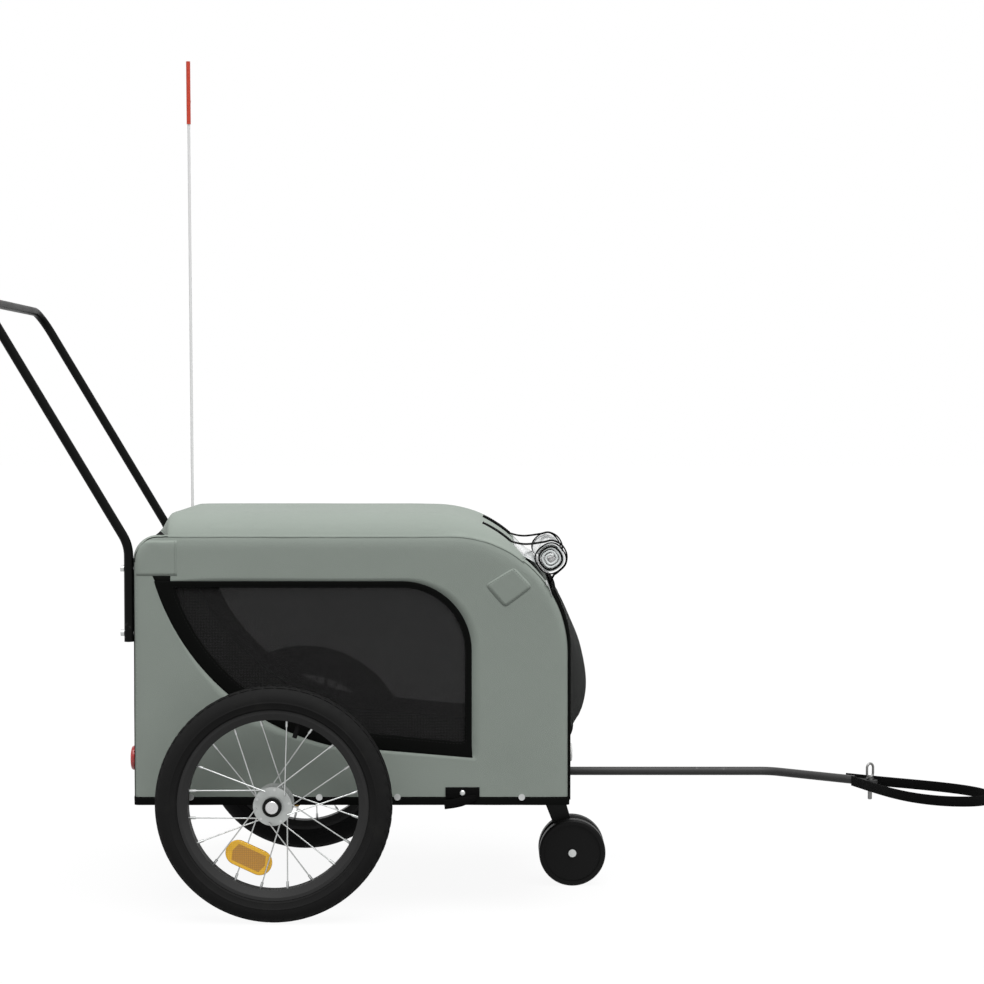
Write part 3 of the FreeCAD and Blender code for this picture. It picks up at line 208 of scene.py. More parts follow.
class Shade(Nodes):
    """The nodes of one material, which end in a Principled shader."""

    def __init__(self, name: str) -> None:
        """Make the material.

        Args:
            name: its name.
        """
        self.material = bpy.data.materials.new(name)
        self.material.use_nodes = True
        super().__init__(self.material.node_tree)
        self.surface = self.tree.nodes.new("ShaderNodeBsdfPrincipled")
        self.end("ShaderNodeOutputMaterial", Value(self, self.surface.outputs[0]))

    def set(self, **terms: Term) -> None:
        """Feed the shader's sockets, named with underscores for spaces."""
        for key, term in terms.items():
            self.feed(self.surface.inputs[key.replace("_", " ")], term)

    def split(self, vector: Value) -> list[Value]:
        """The three parts of a vector."""
        return [self.node("ShaderNodeSeparateXYZ", {}, [vector], part) for part in range(3)]

    def place(self) -> list[Value]:
        """Where the point is at rest, in metres."""
        return self.split(self.node("ShaderNodeTexCoord", output=REST_COORDS))

    def facing(self) -> list[Value]:
        """The surface's direction at rest."""
        return self.split(self.node("ShaderNodeTexCoord", output=NORMAL_COORDS))

    def noise(self, scale: float, detail: float, stretch: tuple = (1.0, 1.0, 1.0)) -> Value:
        """Cloudy noise from 0 to 1.

        Args:
            scale: how many clouds to the metre.
            detail: how many finer layers it has.
            stretch: the scale along each axis.

        Returns:
            The noise.
        """
        where = self.node("ShaderNodeTexCoord", output=REST_COORDS)
        where = self.node("ShaderNodeVectorMath", {"operation": "MULTIPLY"}, [where, stretch])
        return self.node("ShaderNodeTexNoise", {}, {"Vector": where, "Scale": scale, "Detail": detail})

    def scaled(self, colour: tuple, amount: Value) -> Value:
        """A colour made lighter or darker by a varying amount."""
        return self.node("ShaderNodeVectorMath", {"operation": "SCALE"}, {0: colour, "Scale": amount})

    def mix(self, share: Value, first: Term, second: Term) -> Value:
        """A colour between two, by a share from 0 to 1."""
        return self.node("ShaderNodeMix", {"data_type": "RGBA"}, {0: share, 6: first, 7: second}, 2)

    def bump(self, height: Value, distance: float, strength: float) -> None:
        """Raise the surface by a height, with the distance in metres for a height of one."""
        terms = {"Strength": strength, "Distance": distance, "Height": height}
        self.set(Normal=self.node("ShaderNodeBump", {}, terms))

    def by_facing(self, pattern: Callable[[Value, Value], Value], parts: list[Value]) -> Value:
        """A flat pattern laid on from three sides.

        Args:
            pattern: what it is, from the two directions along a flat.
            parts: three values, one for each direction.

        Returns:
            The pattern, weighted by the way that the surface faces.
        """
        along_x, along_y, along_z = parts
        to_x, to_y, to_z = (part * part for part in self.facing())
        return (to_x * pattern(along_y, along_z) + to_y * pattern(along_x, along_z)
                + to_z * pattern(along_x, along_y))

    def threads(self, pitch: float) -> list[Value]:
        """Waves along the three axes, one for each pair of threads."""
        return [(part * (2 * math.pi / pitch)).sine() for part in self.place()]


@dataclass(frozen=True)
class Finish:
    """A finish: its name, its colour and how rough it is."""

    name: str
    colour: tuple
    rough: float

    def material(self) -> bpy.types.Material:
        """The material, made once.

        Returns:
            The material.
        """
        name = "finish_" + self.name
        made = bpy.data.materials.get(name)
        if made is None:
            shade = Shade(name)
            self.paint(shade)
            made = shade.material
        return made

    def paint(self, shade: Shade) -> None:
        """Lay the finish on: each kind of finish has its own way."""
        raise NotImplementedError


@dataclass(frozen=True)
class WovenCloth(Finish):
    """Coated woven polyester, matt, with a fine plain weave."""

    pitch: float = 0.0016
    sheen: float = 0.08
    gloss: float = 0.25

    def paint(self, shade: Shade) -> None:
        """Lay the finish on.

        Args:
            shade: the material's nodes.
        """
        weave = shade.by_facing(lambda a, b: a * b, shade.threads(self.pitch))
        slub = shade.noise(420.0, 2.0)
        cloud = shade.noise(7.0, 4.0)
        shade.set(Base_Color=shade.scaled(self.colour, 0.93 + 0.05 * weave + 0.06 * slub + 0.08 * cloud),
                  Roughness=self.rough + 0.12 * slub - 0.05 * weave, Sheen_Weight=self.sheen,
                  Sheen_Roughness=0.5, Specular_IOR_Level=self.gloss)
        shade.bump(weave * 0.5 + slub * 0.6, 0.0004, 0.6)


@dataclass(frozen=True)
class Netting(Finish):
    """Close black net with small round holes."""

    pitch: float = 0.0026
    open_share: float = 0.52
    yarn_open: float = 0.5
    lay: NetLay = NetLay.SQUARE

    def holes(self, shade: Shade) -> Value:
        """The rows of holes.

        Args:
            shade: the material's nodes.

        Returns:
            From 0 on the yarn to 1 in the middle of a hole.
        """
        if self.lay is NetLay.SQUARE:
            return shade.by_facing(lambda a, b: abs(a * b), shade.threads(2 * self.pitch))
        wave = math.pi / self.pitch * math.sqrt(0.5)
        parts = [part * wave for part in shade.place()]
        return shade.by_facing(lambda a, b: abs((a + b).sine() * (a - b).sine()), parts)

    def paint(self, shade: Shade) -> None:
        """Lay the finish on.

        Args:
            shade: the material's nodes.
        """
        holes = self.holes(shade)
        open_here = self.open_share * (self.yarn_open + (1.0 - self.yarn_open) * holes * holes)
        cloud = shade.noise(9.0, 3.0)
        yarn = shade.noise(800.0, 2.0)
        shade.set(Base_Color=shade.scaled(self.colour, 0.82 + 0.2 * cloud + 0.16 * yarn),
                  Roughness=self.rough + 0.1 * yarn, Alpha=1.0 - open_here, Specular_IOR_Level=0.1)
        shade.bump(1.0 - holes, 0.0005, 0.45)


@dataclass(frozen=True)
class Paint(Finish):
    """Baked paint on steel tube: a fine peel, dull patches and small rubbed spots."""

    rubbed: tuple = tone(60, 60, 58)
    gloss: float = 0.12

    def paint(self, shade: Shade) -> None:
        """Lay the finish on.

        Args:
            shade: the material's nodes.
        """
        peel = shade.noise(900.0, 2.0)
        dull = shade.noise(16.0, 4.0)
        spots = shade.noise(70.0, 6.0).between(0.69, 0.74)
        coat = shade.scaled(self.colour, 0.9 + 0.2 * dull)
        shade.set(Base_Color=shade.mix(spots * 0.45, coat, self.rubbed),
                  Roughness=self.rough - 0.1 + 0.2 * dull + 0.08 * spots, Specular_IOR_Level=self.gloss)
        shade.bump(peel, 0.0002, 0.5)


@dataclass(frozen=True)
class BareMetal(Finish):
    """Plated or polished metal with a fine grain and a little tarnish."""

    def paint(self, shade: Shade) -> None:
        """Lay the finish on.

        Args:
            shade: the material's nodes.
        """
        grain = shade.noise(500.0, 3.0)
        tarnish = shade.noise(45.0, 4.0).between(0.45, 0.75)
        shade.set(Base_Color=shade.scaled(self.colour, 0.9 + 0.16 * grain - 0.12 * tarnish), Metallic=1.0,
                  Roughness=self.rough + 0.14 * tarnish + 0.1 * grain)
        shade.bump(grain, 0.0001, 0.4)


@dataclass(frozen=True)
class Rubber(Finish):
    """Black rubber: matt, with dust where it is rough."""

    dust: tuple = tone(74, 74, 72)

    def paint(self, shade: Shade) -> None:
        """Lay the finish on.

        Args:
            shade: the material's nodes.
        """
        grain = shade.noise(1200.0, 2.0)
        dust = shade.noise(28.0, 5.0).between(0.5, 0.85)
        clean = shade.scaled(self.colour, 0.85 + 0.3 * grain)
        shade.set(Base_Color=shade.mix(dust * 0.22, clean, self.dust),
                  Roughness=self.rough + 0.15 * dust, Specular_IOR_Level=0.06)
        shade.bump(grain, 0.0002, 0.6)


@dataclass(frozen=True)
class Plastic(Finish):
    """Moulded plastic with a spark-eroded grain and faint scuffs."""

    scuff: tuple = tone(44, 44, 44)
    gloss: float = 0.1

    def paint(self, shade: Shade) -> None:
        """Lay the finish on.

        Args:
            shade: the material's nodes.
        """
        grain = shade.noise(1500.0, 2.0)
        scuffs = shade.noise(60.0, 6.0, (1.0, 1.0, 4.0)).between(0.66, 0.76)
        moulded = shade.scaled(self.colour, 0.9 + 0.2 * grain)
        shade.set(Base_Color=shade.mix(scuffs * 0.3, moulded, self.scuff),
                  Roughness=self.rough - 0.08 + 0.16 * grain + 0.1 * scuffs, Specular_IOR_Level=self.gloss)
        shade.bump(grain, 0.00015, 0.6)


@dataclass(frozen=True)
class Lens(Finish):
    """Prismatic plastic: a grid of small corner cubes under a glossy face."""

    cell: float = 0.0032

    def paint(self, shade: Shade) -> None:
        """Lay the finish on.

        Args:
            shade: the material's nodes.
        """
        cells = shade.by_facing(lambda a, b: abs(a) * abs(b), shade.threads(2 * self.cell))
        cloud = shade.noise(60.0, 2.0)
        shade.set(Base_Color=shade.scaled(self.colour, 0.72 + 0.4 * cells + 0.16 * cloud),
                  Roughness=self.rough + 0.1 * cells, Coat_Weight=0.35, Coat_Roughness=0.05)
        shade.bump(cells, 0.0005, 0.7)


@dataclass(frozen=True)
class WheelLens(Lens):
    """The oval wheel reflector: a bright moulded border round a deeper coloured field of cells."""

    field: tuple = tone(182, 128, 30)
    middle: Pair = (0.0, 0.0)
    turn: float = 0.0
    half_field: Pair = (0.0, 0.0)
    slope: float = 0.35
    edge: float = 0.001

    def paint(self, shade: Shade) -> None:
        """Lay the finish on.

        Args:
            shade: the material's nodes.
        """
        x, _, z = shade.place()
        x, z = x - self.middle[0], z - self.middle[1]
        across = abs(x * math.cos(self.turn) + z * math.sin(self.turn))
        along = abs(z * math.cos(self.turn) - x * math.sin(self.turn))
        border = (along + across * self.slope - self.half_field[0]).between(0.0, self.edge)
        rim = (across - self.half_field[1]).between(0.0, self.edge)
        edge = border.math("MAXIMUM", border, rim)
        cells = shade.by_facing(lambda a, b: abs(a) * abs(b), shade.threads(2 * self.cell))
        bright = shade.scaled(self.colour, 0.85 + 0.2 * cells)
        shade.set(Base_Color=shade.mix(edge, shade.scaled(self.field, 0.8 + 0.4 * cells), bright),
                  Roughness=self.rough + 0.1 * cells, Coat_Weight=0.3, Coat_Roughness=0.06)
        shade.bump(cells * (1.0 - 0.7 * edge), 0.0004, 0.6)


@dataclass(frozen=True)
class Film(Finish):
    """Soft clear film: milky where it creases, with long soft streaks."""

    clear: float = 0.0

    def paint(self, shade: Shade) -> None:
        """Lay the finish on.

        Args:
            shade: the material's nodes.
        """
        streaks = shade.noise(26.0, 4.0, (1.0, 0.12, 1.0))
        creases = streaks.between(0.45, 0.7)
        shade.set(Base_Color=shade.scaled(self.colour, 0.62 + 0.5 * streaks),
                  Roughness=self.rough + 0.14 * creases, Alpha=1.0 - self.clear + 0.4 * creases,
                  Coat_Weight=0.6, Coat_Roughness=0.08)
        shade.bump(streaks, 0.003, 0.6)


@dataclass(frozen=True)
class Webbing(Finish):
    """Woven strap: ribs along its length, and a fine cross weave."""

    across: Across = Across.WIDTH_Y
    rib: float = 0.0026
    pitch: float = 0.0014

    def paint(self, shade: Shade) -> None:
        """Lay the finish on.

        Args:
            shade: the material's nodes.
        """
        ribs = abs(shade.threads(2 * self.rib)[self.across.value])
        weave = shade.by_facing(lambda a, b: a * b, shade.threads(self.pitch))
        fuzz = shade.noise(600.0, 2.0)
        shade.set(Base_Color=shade.scaled(self.colour, 0.65 + 0.4 * ribs + 0.12 * weave + 0.2 * fuzz),
                  Roughness=self.rough + 0.1 * fuzz, Sheen_Weight=0.01, Specular_IOR_Level=0.06)
        shade.bump(ribs + 0.4 * weave, 0.0005, 0.8)


@dataclass(frozen=True)
class Board(Finish):
    """Dark film-faced board: a pressed wire grid and worn patches."""

    worn: tuple = tone(92, 84, 74)
    wire: float = 0.009

    def paint(self, shade: Shade) -> None:
        """Lay the finish on.

        Args:
            shade: the material's nodes.
        """
        wires = shade.by_facing(lambda a, b: abs(a * b), shade.threads(self.wire))
        grain = shade.noise(40.0, 6.0, (0.1, 1.0, 1.0))
        worn = shade.noise(12.0, 5.0).between(0.58, 0.8)
        board = shade.scaled(self.colour, 0.8 + 0.3 * grain)
        shade.set(Base_Color=shade.mix(worn * 0.4, board, self.worn), Roughness=self.rough + 0.2 * worn)
        shade.bump(wires, 0.0004, 0.6)


GREY_CLOTH = WovenCloth("grey_cloth", tone(134, 142, 135), 0.82)
BLACK_CLOTH = WovenCloth("black_cloth", tone(20, 21, 20), 0.85, sheen=0.0, gloss=0.05)
BINDING = WovenCloth("black_binding", tone(9, 10, 9), 0.8, pitch=0.0022, sheen=0.0, gloss=0.05)
FLAG_CLOTH = WovenCloth("flag_cloth", tone(206, 74, 54), 0.7, pitch=0.0009, sheen=0.05)
GREY_THREAD = WovenCloth("grey_thread", tone(158, 166, 158), 0.7, pitch=0.0008)
DARK_THREAD = WovenCloth("dark_thread", tone(96, 103, 97), 0.8, pitch=0.0008)
BLACK_THREAD = WovenCloth("black_thread", tone(30, 30, 30), 0.75, pitch=0.0008, sheen=0.0, gloss=0.05)
RIGHT_NET = Netting("window_net", tone(36, 36, 36), 0.85)
LEFT_NET = Netting("window_net_turned", tone(33, 33, 33), 0.85, lay=NetLay.DIAMOND)
FRONT_NET = Netting("door_net", tone(48, 49, 48), 0.8, open_share=0.24)
REAR_NET = Netting("door_net_turned", tone(48, 49, 48), 0.8, open_share=0.24, lay=NetLay.DIAMOND)
FILM = Film("clear_film", tone(222, 226, 226), 0.14, clear=0.3)
FILM_EDGE = Film("film_edge", tone(222, 226, 226), 0.3)
STRAP = Webbing("black_strap", tone(14, 14, 14), 0.75)
STRAP_ON_EDGE = Webbing("black_strap_on_edge", tone(6, 6, 6), 0.75, across=Across.WIDTH_Z)
FRAME_PAINT = Paint("frame_paint", tone(8, 10, 8), 0.42)
HANDLE_PAINT = Paint("handle_paint", tone(11, 12, 11), 0.38, gloss=0.07)
RIM_PAINT = Paint("rim_paint", tone(45, 45, 45), 0.45)
TOW_PAINT = Paint("tow_paint", tone(58, 58, 58), 0.4, rubbed=tone(104, 104, 102), gloss=0.15)
ZINC = BareMetal("zinc", tone(196, 198, 197), 0.3)
STEEL = BareMetal("spoke_steel", tone(192, 194, 193), 0.32)
HUB_ALLOY = BareMetal("hub_alloy", tone(176, 179, 177), 0.42)
CHROME = BareMetal("button_chrome", tone(204, 204, 204), 0.2)
PIN_STEEL = BareMetal("pin_steel", tone(128, 128, 127), 0.34)
TYRE = Rubber("tyre_rubber", tone(27, 27, 27), 0.7, dust=tone(52, 52, 50))
TUBE = Rubber("tube_rubber", tone(22, 22, 22), 0.65)
BLACK_PLASTIC = Plastic("black_plastic", tone(16, 16, 16), 0.42)
CLEAR_LENS = Lens("clear_lens", tone(214, 214, 212), 0.12)
RED_LENS = Lens("red_lens", tone(176, 24, 22), 0.14)
POLE = Plastic("white_pole", tone(226, 226, 226), 0.35, scuff=tone(196, 196, 194), gloss=0.4)
FLOOR_BOARD = Board("floor_board", tone(52, 50, 47), 0.5)


# Meshes, in millimetres from the axle, with the floor at zero


@dataclass(frozen=True)
class Stitch:
    """A kind of seam: from one stitch to the next, a stitch's length, and half of its thickness."""

    pitch: float
    length: float
    thick: float


REAR_STITCH = Stitch(8.0, 5.5, 0.5)
FRONT_STITCH = Stitch(6.0, 3.6, 0.45)
DOOR_STITCH = Stitch(6.0, 3.6, 0.5)
TAPE_STITCH = Stitch(6.0, 3.6, 0.4)
TOP_STITCH = Stitch(5.0, 3.4, 0.45)
ROOF_STITCH = Stitch(5.0, 3.4, 0.5)
PATCH_STITCH = Stitch(4.5, 3.0, 0.4)
SMALL_STITCH = Stitch(4.0, 2.8, 0.4)
CLOSE_STITCH = Stitch(3.6, 2.6, 0.4)


def in_scene(name: str, data: bpy.types.ID) -> Piece:
    """A new object in the scene.

    Args:
        name: its name.
        data: the mesh, light or camera that it shows.

    Returns:
        The object.
    """
    made = bpy.data.objects.new(name, data)
    bpy.context.scene.collection.objects.link(made)
    return made


def to_frame(point: Vector) -> Vector:
    """A point in millimetres from the axle, in the frame's metres."""
    return Vector((point.x * MM + AXLE_X, point.y * MM, point.z * MM))


def span(node: str) -> tuple[Vector, Vector]:
    """A CAD node's lowest and highest corners, in millimetres from the axle."""
    return tuple(Vector(((c.x - AXLE_X) / MM, c.y / MM, c.z / MM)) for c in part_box(node))


def clamp(share: float) -> float:
    """A share kept between 0 and 1."""
    return min(1.0, max(0.0, share))


def blend(first: float, last: float, share: float) -> float:
    """A number between two others, by a share."""
    return first + (last - first) * share


def part_way(first: Pair, last: Pair, share: float) -> Pair:
    """A point between two others, by a share."""
    return blend(first[0], last[0], share), blend(first[1], last[1], share)


def steps(first: float, last: float, count: int) -> list[float]:
    """Evenly spaced numbers, both ends included."""
    return [first + (last - first) * i / count for i in range(count + 1)]


def straight(first: Pair, last: Pair, count: int) -> list[Pair]:
    """Evenly spaced points on a straight line, both ends included."""
    return list(zip(steps(first[0], last[0], count), steps(first[1], last[1], count)))


def arc(middle: Pair, radius: float, start: float, end: float, count: int) -> list[Pair]:
    """Points on a round arc between two angles in degrees, both ends included."""
    turns = [math.radians(angle) for angle in steps(start, end, count)]
    return [(middle[0] + radius * math.cos(t), middle[1] + radius * math.sin(t)) for t in turns]


def arc_through(first: Pair, by: Pair, last: Pair, count: int) -> list[Pair]:
    """Points on the round arc through three points.

    Args:
        first: where it starts.
        by: a point on its way.
        last: where it ends.
        count: how many runs it is drawn in.

    Returns:
        The points, both ends included.
    """
    (ax, ay), (bx, by_), (cx, cy) = first, by, last
    d = 2 * (ax * (by_ - cy) + bx * (cy - ay) + cx * (ay - by_))
    a2, b2, c2 = ax * ax + ay * ay, bx * bx + by_ * by_, cx * cx + cy * cy
    ux = (a2 * (by_ - cy) + b2 * (cy - ay) + c2 * (ay - by_)) / d
    uy = (a2 * (cx - bx) + b2 * (ax - cx) + c2 * (bx - ax)) / d
    start, end = math.atan2(ay - uy, ax - ux), math.atan2(cy - uy, cx - ux)
    over = math.atan2(by_ - uy, bx - ux)
    if not min(start, end) <= over <= max(start, end):
        end += math.copysign(2 * math.pi, start - end)
    return arc((ux, uy), math.hypot(ax - ux, ay - uy), math.degrees(start), math.degrees(end), count)


def spaced(line: Sequence[Vector], step: float) -> list[tuple[Vector, Vector]]:
    """Evenly spaced points along a line, with the direction there.

    Args:
        line: the line's points.
        step: the distance between two of the new points.

    Returns:
        Pairs of a point and a direction of length one.
    """
    found, left = [], step / 2
    for start, end in zip(line, line[1:]):
        run = end - start
        while left <= run.length:
            found.append((start + run.normalized() * left, run.normalized()))
            left += step
        left -= run.length
    return found


def smooth_line(points: Sequence[Vector], count: int) -> list[Vector]:
    """A soft line through a few points, as limp cloth lies.

    Args:
        points: the points that it passes through.
        count: how many runs there are between two of them.

    Returns:
        The line's points.
    """
    ends = [points[0] * 2 - points[1], *points, points[-1] * 2 - points[-2]]
    line = []
    for a, b, c, d in zip(ends, ends[1:], ends[2:], ends[3:]):
        for t in steps(0.0, 1.0, count)[:-1]:
            line.append(0.5 * (2 * b + (c - a) * t + (2 * a - 5 * b + 4 * c - d) * t * t
                               + (3 * b - a - 3 * c + d) * t ** 3))
    return line + [points[-1]]


def ruffle(x: float, y: float, height: float, wave: float, seed: float) -> float:
    """Soft seeded unevenness, with the waves' height and length in millimetres."""
    return height * noise.noise(Vector((x / wave, y / wave, seed)))


def ring_section(radius: float, count: int = 8) -> list[Pair]:
    """A round section for a sweep."""
    return arc((0.0, 0.0), radius, 0.0, 360.0 * (count - 1) / count, count - 1)


def strap_section(width: float, thick: float) -> list[Pair]:
    """A flat section with eased edges for a sweep.

    Args:
        width: how wide it is.
        thick: how thick it is.

    Returns:
        Its points.
    """
    w, t = width / 2, thick / 2
    below = [(-w, -t / 2), (-w + t, -t), (w - t, -t), (w, -t / 2)]
    return below + [(x, -y) for x, y in reversed(below)]


class Shape:
    """Points and faces gathered for one piece."""

    def __init__(self) -> None:
        """Start with no points."""
        self.points: list[Vector] = []
        self.faces: list[tuple[int, ...]] = []
        self.tints: list[int] = []

    def face(self, corners: Sequence[int], tint: int) -> None:
        """One face, by the numbers of its corners."""
        self.faces.append(tuple(corners))
        self.tints.append(tint)

    def skin(self, rows: Sequence[Sequence[Vector]], tint: Union[int, Callable[[int, int], int]] = 0,
             wrap_rows: bool = False, wrap_columns: bool = False,
             keep: Optional[Callable[[int, int], bool]] = None) -> "Shape":
        """A surface through rows of points.

        Args:
            rows: the points, with as many in each row.
            tint: which finish a face has, or what tells it from the face's row and column.
            wrap_rows: whether the last row joins the first.
            wrap_columns: whether the last column joins the first.
            keep: tells which faces are there, where not all are.

        Returns:
            This shape.
        """
        start, count, width = len(self.points), len(rows), len(rows[0])
        for row in rows:
            self.points.extend(row)
        for i in range(count if wrap_rows else count - 1):
            for j in range(width if wrap_columns else width - 1):
                if keep is None or keep(i, j):
                    k, m = (i + 1) % count, (j + 1) % width
                    corners = [start + a * width + b for a, b in ((i, j), (i, m), (k, m), (k, j))]
                    self.face(corners, tint(i, j) if callable(tint) else tint)
        return self

    def sweep(self, line: Sequence[Vector], section: Sequence[Pair], side: Optional[Vector] = None,
              tint: int = 0, closed: bool = False,
              grow: Optional[Callable[[float], float]] = None) -> "Shape":
        """A section carried along a line.

        Args:
            line: the line's points.
            section: the section's points, across the line.
            side: the direction of the section's first axis; without it, one that turns with the line.
            tint: which finish it has.
            closed: whether the line's end joins its start.
            grow: the section's scale, from the share of the line.

        Returns:
            This shape.
        """
        rows, count, turned = [], len(line), side
        for i, point in enumerate(line):
            ahead = line[(i + 1) % count] if closed or i + 1 < count else point
            behind = line[i - 1] if closed or i else point
            along = (ahead - behind).normalized()
            first = turned or along.orthogonal()
            first = (first - along * first.dot(along)).normalized()
            turned = side or first
            up = along.cross(first)
            size = grow(i / (count - 1)) if grow else 1.0
            rows.append([point + first * (a * size) + up * (b * size) for a, b in section])
        start = len(self.points)
        self.skin(rows, tint, closed, True)
        if not closed:
            width = len(section)
            self.face(range(start, start + width), tint)
            self.face(range(start + (count - 1) * width, start + count * width), tint)
        return self

    def stitches(self, line: Sequence[Vector], out: Union[Vector, Callable[[Vector], Vector]],
                 stitch: Stitch, across: bool = False, tint: int = 0) -> "Shape":
        """A row of raised threads along a line on a surface.

        Args:
            line: the line's points.
            out: the surface's direction, or what tells it at a point.
            stitch: the kind of seam.
            across: whether the stitches lie across the line.
            tint: which finish they have.

        Returns:
            This shape.
        """
        for point, along in spaced(line, stitch.pitch):
            up = (out(point) if callable(out) else out).normalized()
            side = up.cross(along).normalized()
            if across:
                along, side = side, along
            start = len(self.points)
            tips = [along * (sign * stitch.length / 2) for sign in (1, -1)]
            ring = [way * stitch.thick for way in (side, up, -side, -up)]
            self.points.extend(point + offset for offset in tips + ring)
            for k in range(len(ring)):
                a, b = start + len(tips) + k, start + len(tips) + (k + 1) % len(ring)
                self.face((start, a, b), tint)
                self.face((start + 1, b, a), tint)
        return self

    def build(self, name: str, finishes: Sequence[Finish], slot: str, replaces: Sequence[str] = (),
              body: str = "chassis", thick: float = 0.0, crease: float = 38.0) -> Piece:
        """Make the piece.

        Args:
            name: its name.
            finishes: its finishes, by the numbers that its faces have.
            slot: the record's material slot; not used.
            replaces: the CAD nodes that it stands for.
            body: the CAD body that it moves with.
            thick: how thick a sheet is.
            crease: the angle in degrees from which an edge is sharp.

        Returns:
            The piece.
        """
        mesh = bpy.data.meshes.new(name)
        mesh.from_pydata([to_frame(p) for p in self.points], [], self.faces)
        for finish in finishes:
            mesh.materials.append(finish.material())
        mesh.polygons.foreach_set("material_index", self.tints)
        work = bmesh.new()
        work.from_mesh(mesh)
        bmesh.ops.remove_doubles(work, verts=work.verts, dist=WELD)
        bmesh.ops.dissolve_degenerate(work, edges=work.edges, dist=SLIVER)
        bmesh.ops.recalc_face_normals(work, faces=work.faces)
        work.to_mesh(mesh)
        work.free()
        mesh.shade_smooth()
        mesh.set_sharp_from_angle(angle=math.radians(crease))
        piece = in_scene(name, mesh)
        if thick:
            layer = piece.modifiers.new("thickness", "SOLIDIFY")
            layer.thickness = thick * MM
            layer.offset = 0.0
        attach(piece, body)
        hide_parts(*replaces)
        LOG.info("%s: %d faces on %s", name, len(mesh.polygons), body)
        return piece


def declare_sheet(piece: Piece, flat: Pair) -> None:
    """Work out a sheet's area and the smaller of it and its flat rectangle's; the result is not kept.

    Args:
        piece: the sheet.
        flat: the rectangle that it is cut from, in millimetres.
    """
    width, length = flat[0] * MM, flat[1] * MM
    one_layer = sum(face.area for face in piece.data.polygons)
    min(one_layer, width * length)


def dress(finish: Finish, *nodes: str) -> None:
    """Give CAD nodes a finish.

    Args:
        finish: the finish.
        nodes: the nodes' names.
    """
    for node in nodes:
        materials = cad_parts[node].data.materials
        materials.clear()
        materials.append(finish.material())
        LOG.info("%s: %s", node, finish.name)


# The trailer's sub-assemblies


@dataclass
class Wheel:
    """A spoked wheel with its axle: the tyre is modelled anew, with its tread and ribs."""

    side: Side
    wall: float = 3.4
    blocks: int = 60
    block_steps: int = 6
    block_slant: float = 9.0
    tread_edge: float = 50.0
    edge_ease: float = 0.6
    tread_depth: float = 1.5
    groove: float = 2.4
    groove_ease: float = 0.4
    groove_rows: tuple = (9.0, 28.0)
    plain_angles: tuple = (0.0, 4.0, 18.0, 40.0, 60.0, 70.0, 80.0, 88.0, 108.0)
    bead_angle: float = 130.0
    rib_angles: tuple = (96.0, 121.0)
    rib_steps: tuple = (-4.0, -2.0, 0.0, 2.0, 4.0)
    rib_height: float = 0.7
    rib_width: float = 2.2
    inner_skip: int = 3
    crease: float = 30.0
    reflector_angle: float = 245.0
    reflector_colour: tuple = tone(238, 182, 14)
    reflector_rough: float = 0.14
    reflector_field: Pair = (0.0295, 0.0145)

    def lift(self, step: int, angle: float) -> float:
        """How far the tyre stands out from its round section.

        Args:
            step: which step round the wheel.
            angle: degrees round the section from the crown.

        Returns:
            Millimetres, below zero in a groove.
        """
        away = abs(angle)
        if away > self.tread_edge:
            bells = (math.exp(-((away - rib) / self.rib_width) ** 2) for rib in self.rib_angles)
            return sum(self.rib_height * bell for bell in bells)
        row = sum(away > line for line in self.groove_rows)
        shifted = step + row * self.block_steps // 2 + int(angle / self.block_slant)
        in_groove = any(abs(away - line) < self.groove for line in self.groove_rows)
        return -self.tread_depth if in_groove or shifted % self.block_steps == 0 else 0.0

    def angles(self) -> list[float]:
        """Where the tyre's section has points on one side.

        Returns:
            Degrees from the crown.
        """
        found = [*self.plain_angles, self.bead_angle]
        for line in self.groove_rows:
            for edge in (line - self.groove, line + self.groove):
                found += [edge - self.groove_ease, edge + self.groove_ease]
        found += [self.tread_edge - self.edge_ease, self.tread_edge + self.edge_ease]
        return sorted(found + [rib + step for rib in self.rib_angles for step in self.rib_steps])

    def tyre(self) -> None:
        """Make the tyre, hollow and open between its beads."""
        node = "tyre_" + self.side.word
        low, high = span(node)
        middle = (low + high) / 2
        section = (high.y - low.y) / 2
        ring = (high.z - low.z) / 2 - section
        half = self.angles()
        angles = [-a for a in reversed(half[1:])] + half
        inner = [(angle, section - self.wall) for angle in reversed(angles[::self.inner_skip])]
        count = self.blocks * self.block_steps
        rows = []
        for step in range(count):
            turn = 2 * math.pi * step / count
            row = []
            for angle, out in [(angle, section + self.lift(step, angle)) for angle in angles] + inner:
                r = ring + out * math.cos(math.radians(angle))
                y = out * math.sin(math.radians(angle))
                row.append(middle + Vector((r * math.cos(turn), y, r * math.sin(turn))))
            rows.append(row)
        shape = Shape().skin(rows, 0, True, True)
        body = "wheel_" + self.side.word
        shape.build("tread_" + node, [TYRE], "tyre_rubber", [node], body, crease=self.crease)

    def reflector(self) -> WheelLens:
        """The finish of the wheel's reflector, placed on it.

        Returns:
            The finish.
        """
        low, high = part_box("wheel_reflector_" + self.side.word)
        middle = (low + high) / 2
        return WheelLens("wheel_lens", self.reflector_colour, self.reflector_rough,
                         middle=(middle.x, middle.z), turn=math.radians(self.reflector_angle),
                         half_field=self.reflector_field)

    def build(self) -> None:
        """Make the tyre and dress the rest."""
        self.tyre()
        finishes = {"rim": RIM_PAINT, "spokes": STEEL, "hub": HUB_ALLOY, "bearings": ZINC,
                    "axle_sleeve": ZINC, "axle": FRAME_PAINT, "release_button": CHROME, "inner_tube": TUBE,
                    "wheel_reflector": self.reflector()}
        for node, finish in finishes.items():
            dress(finish, node + "_" + self.side.word)


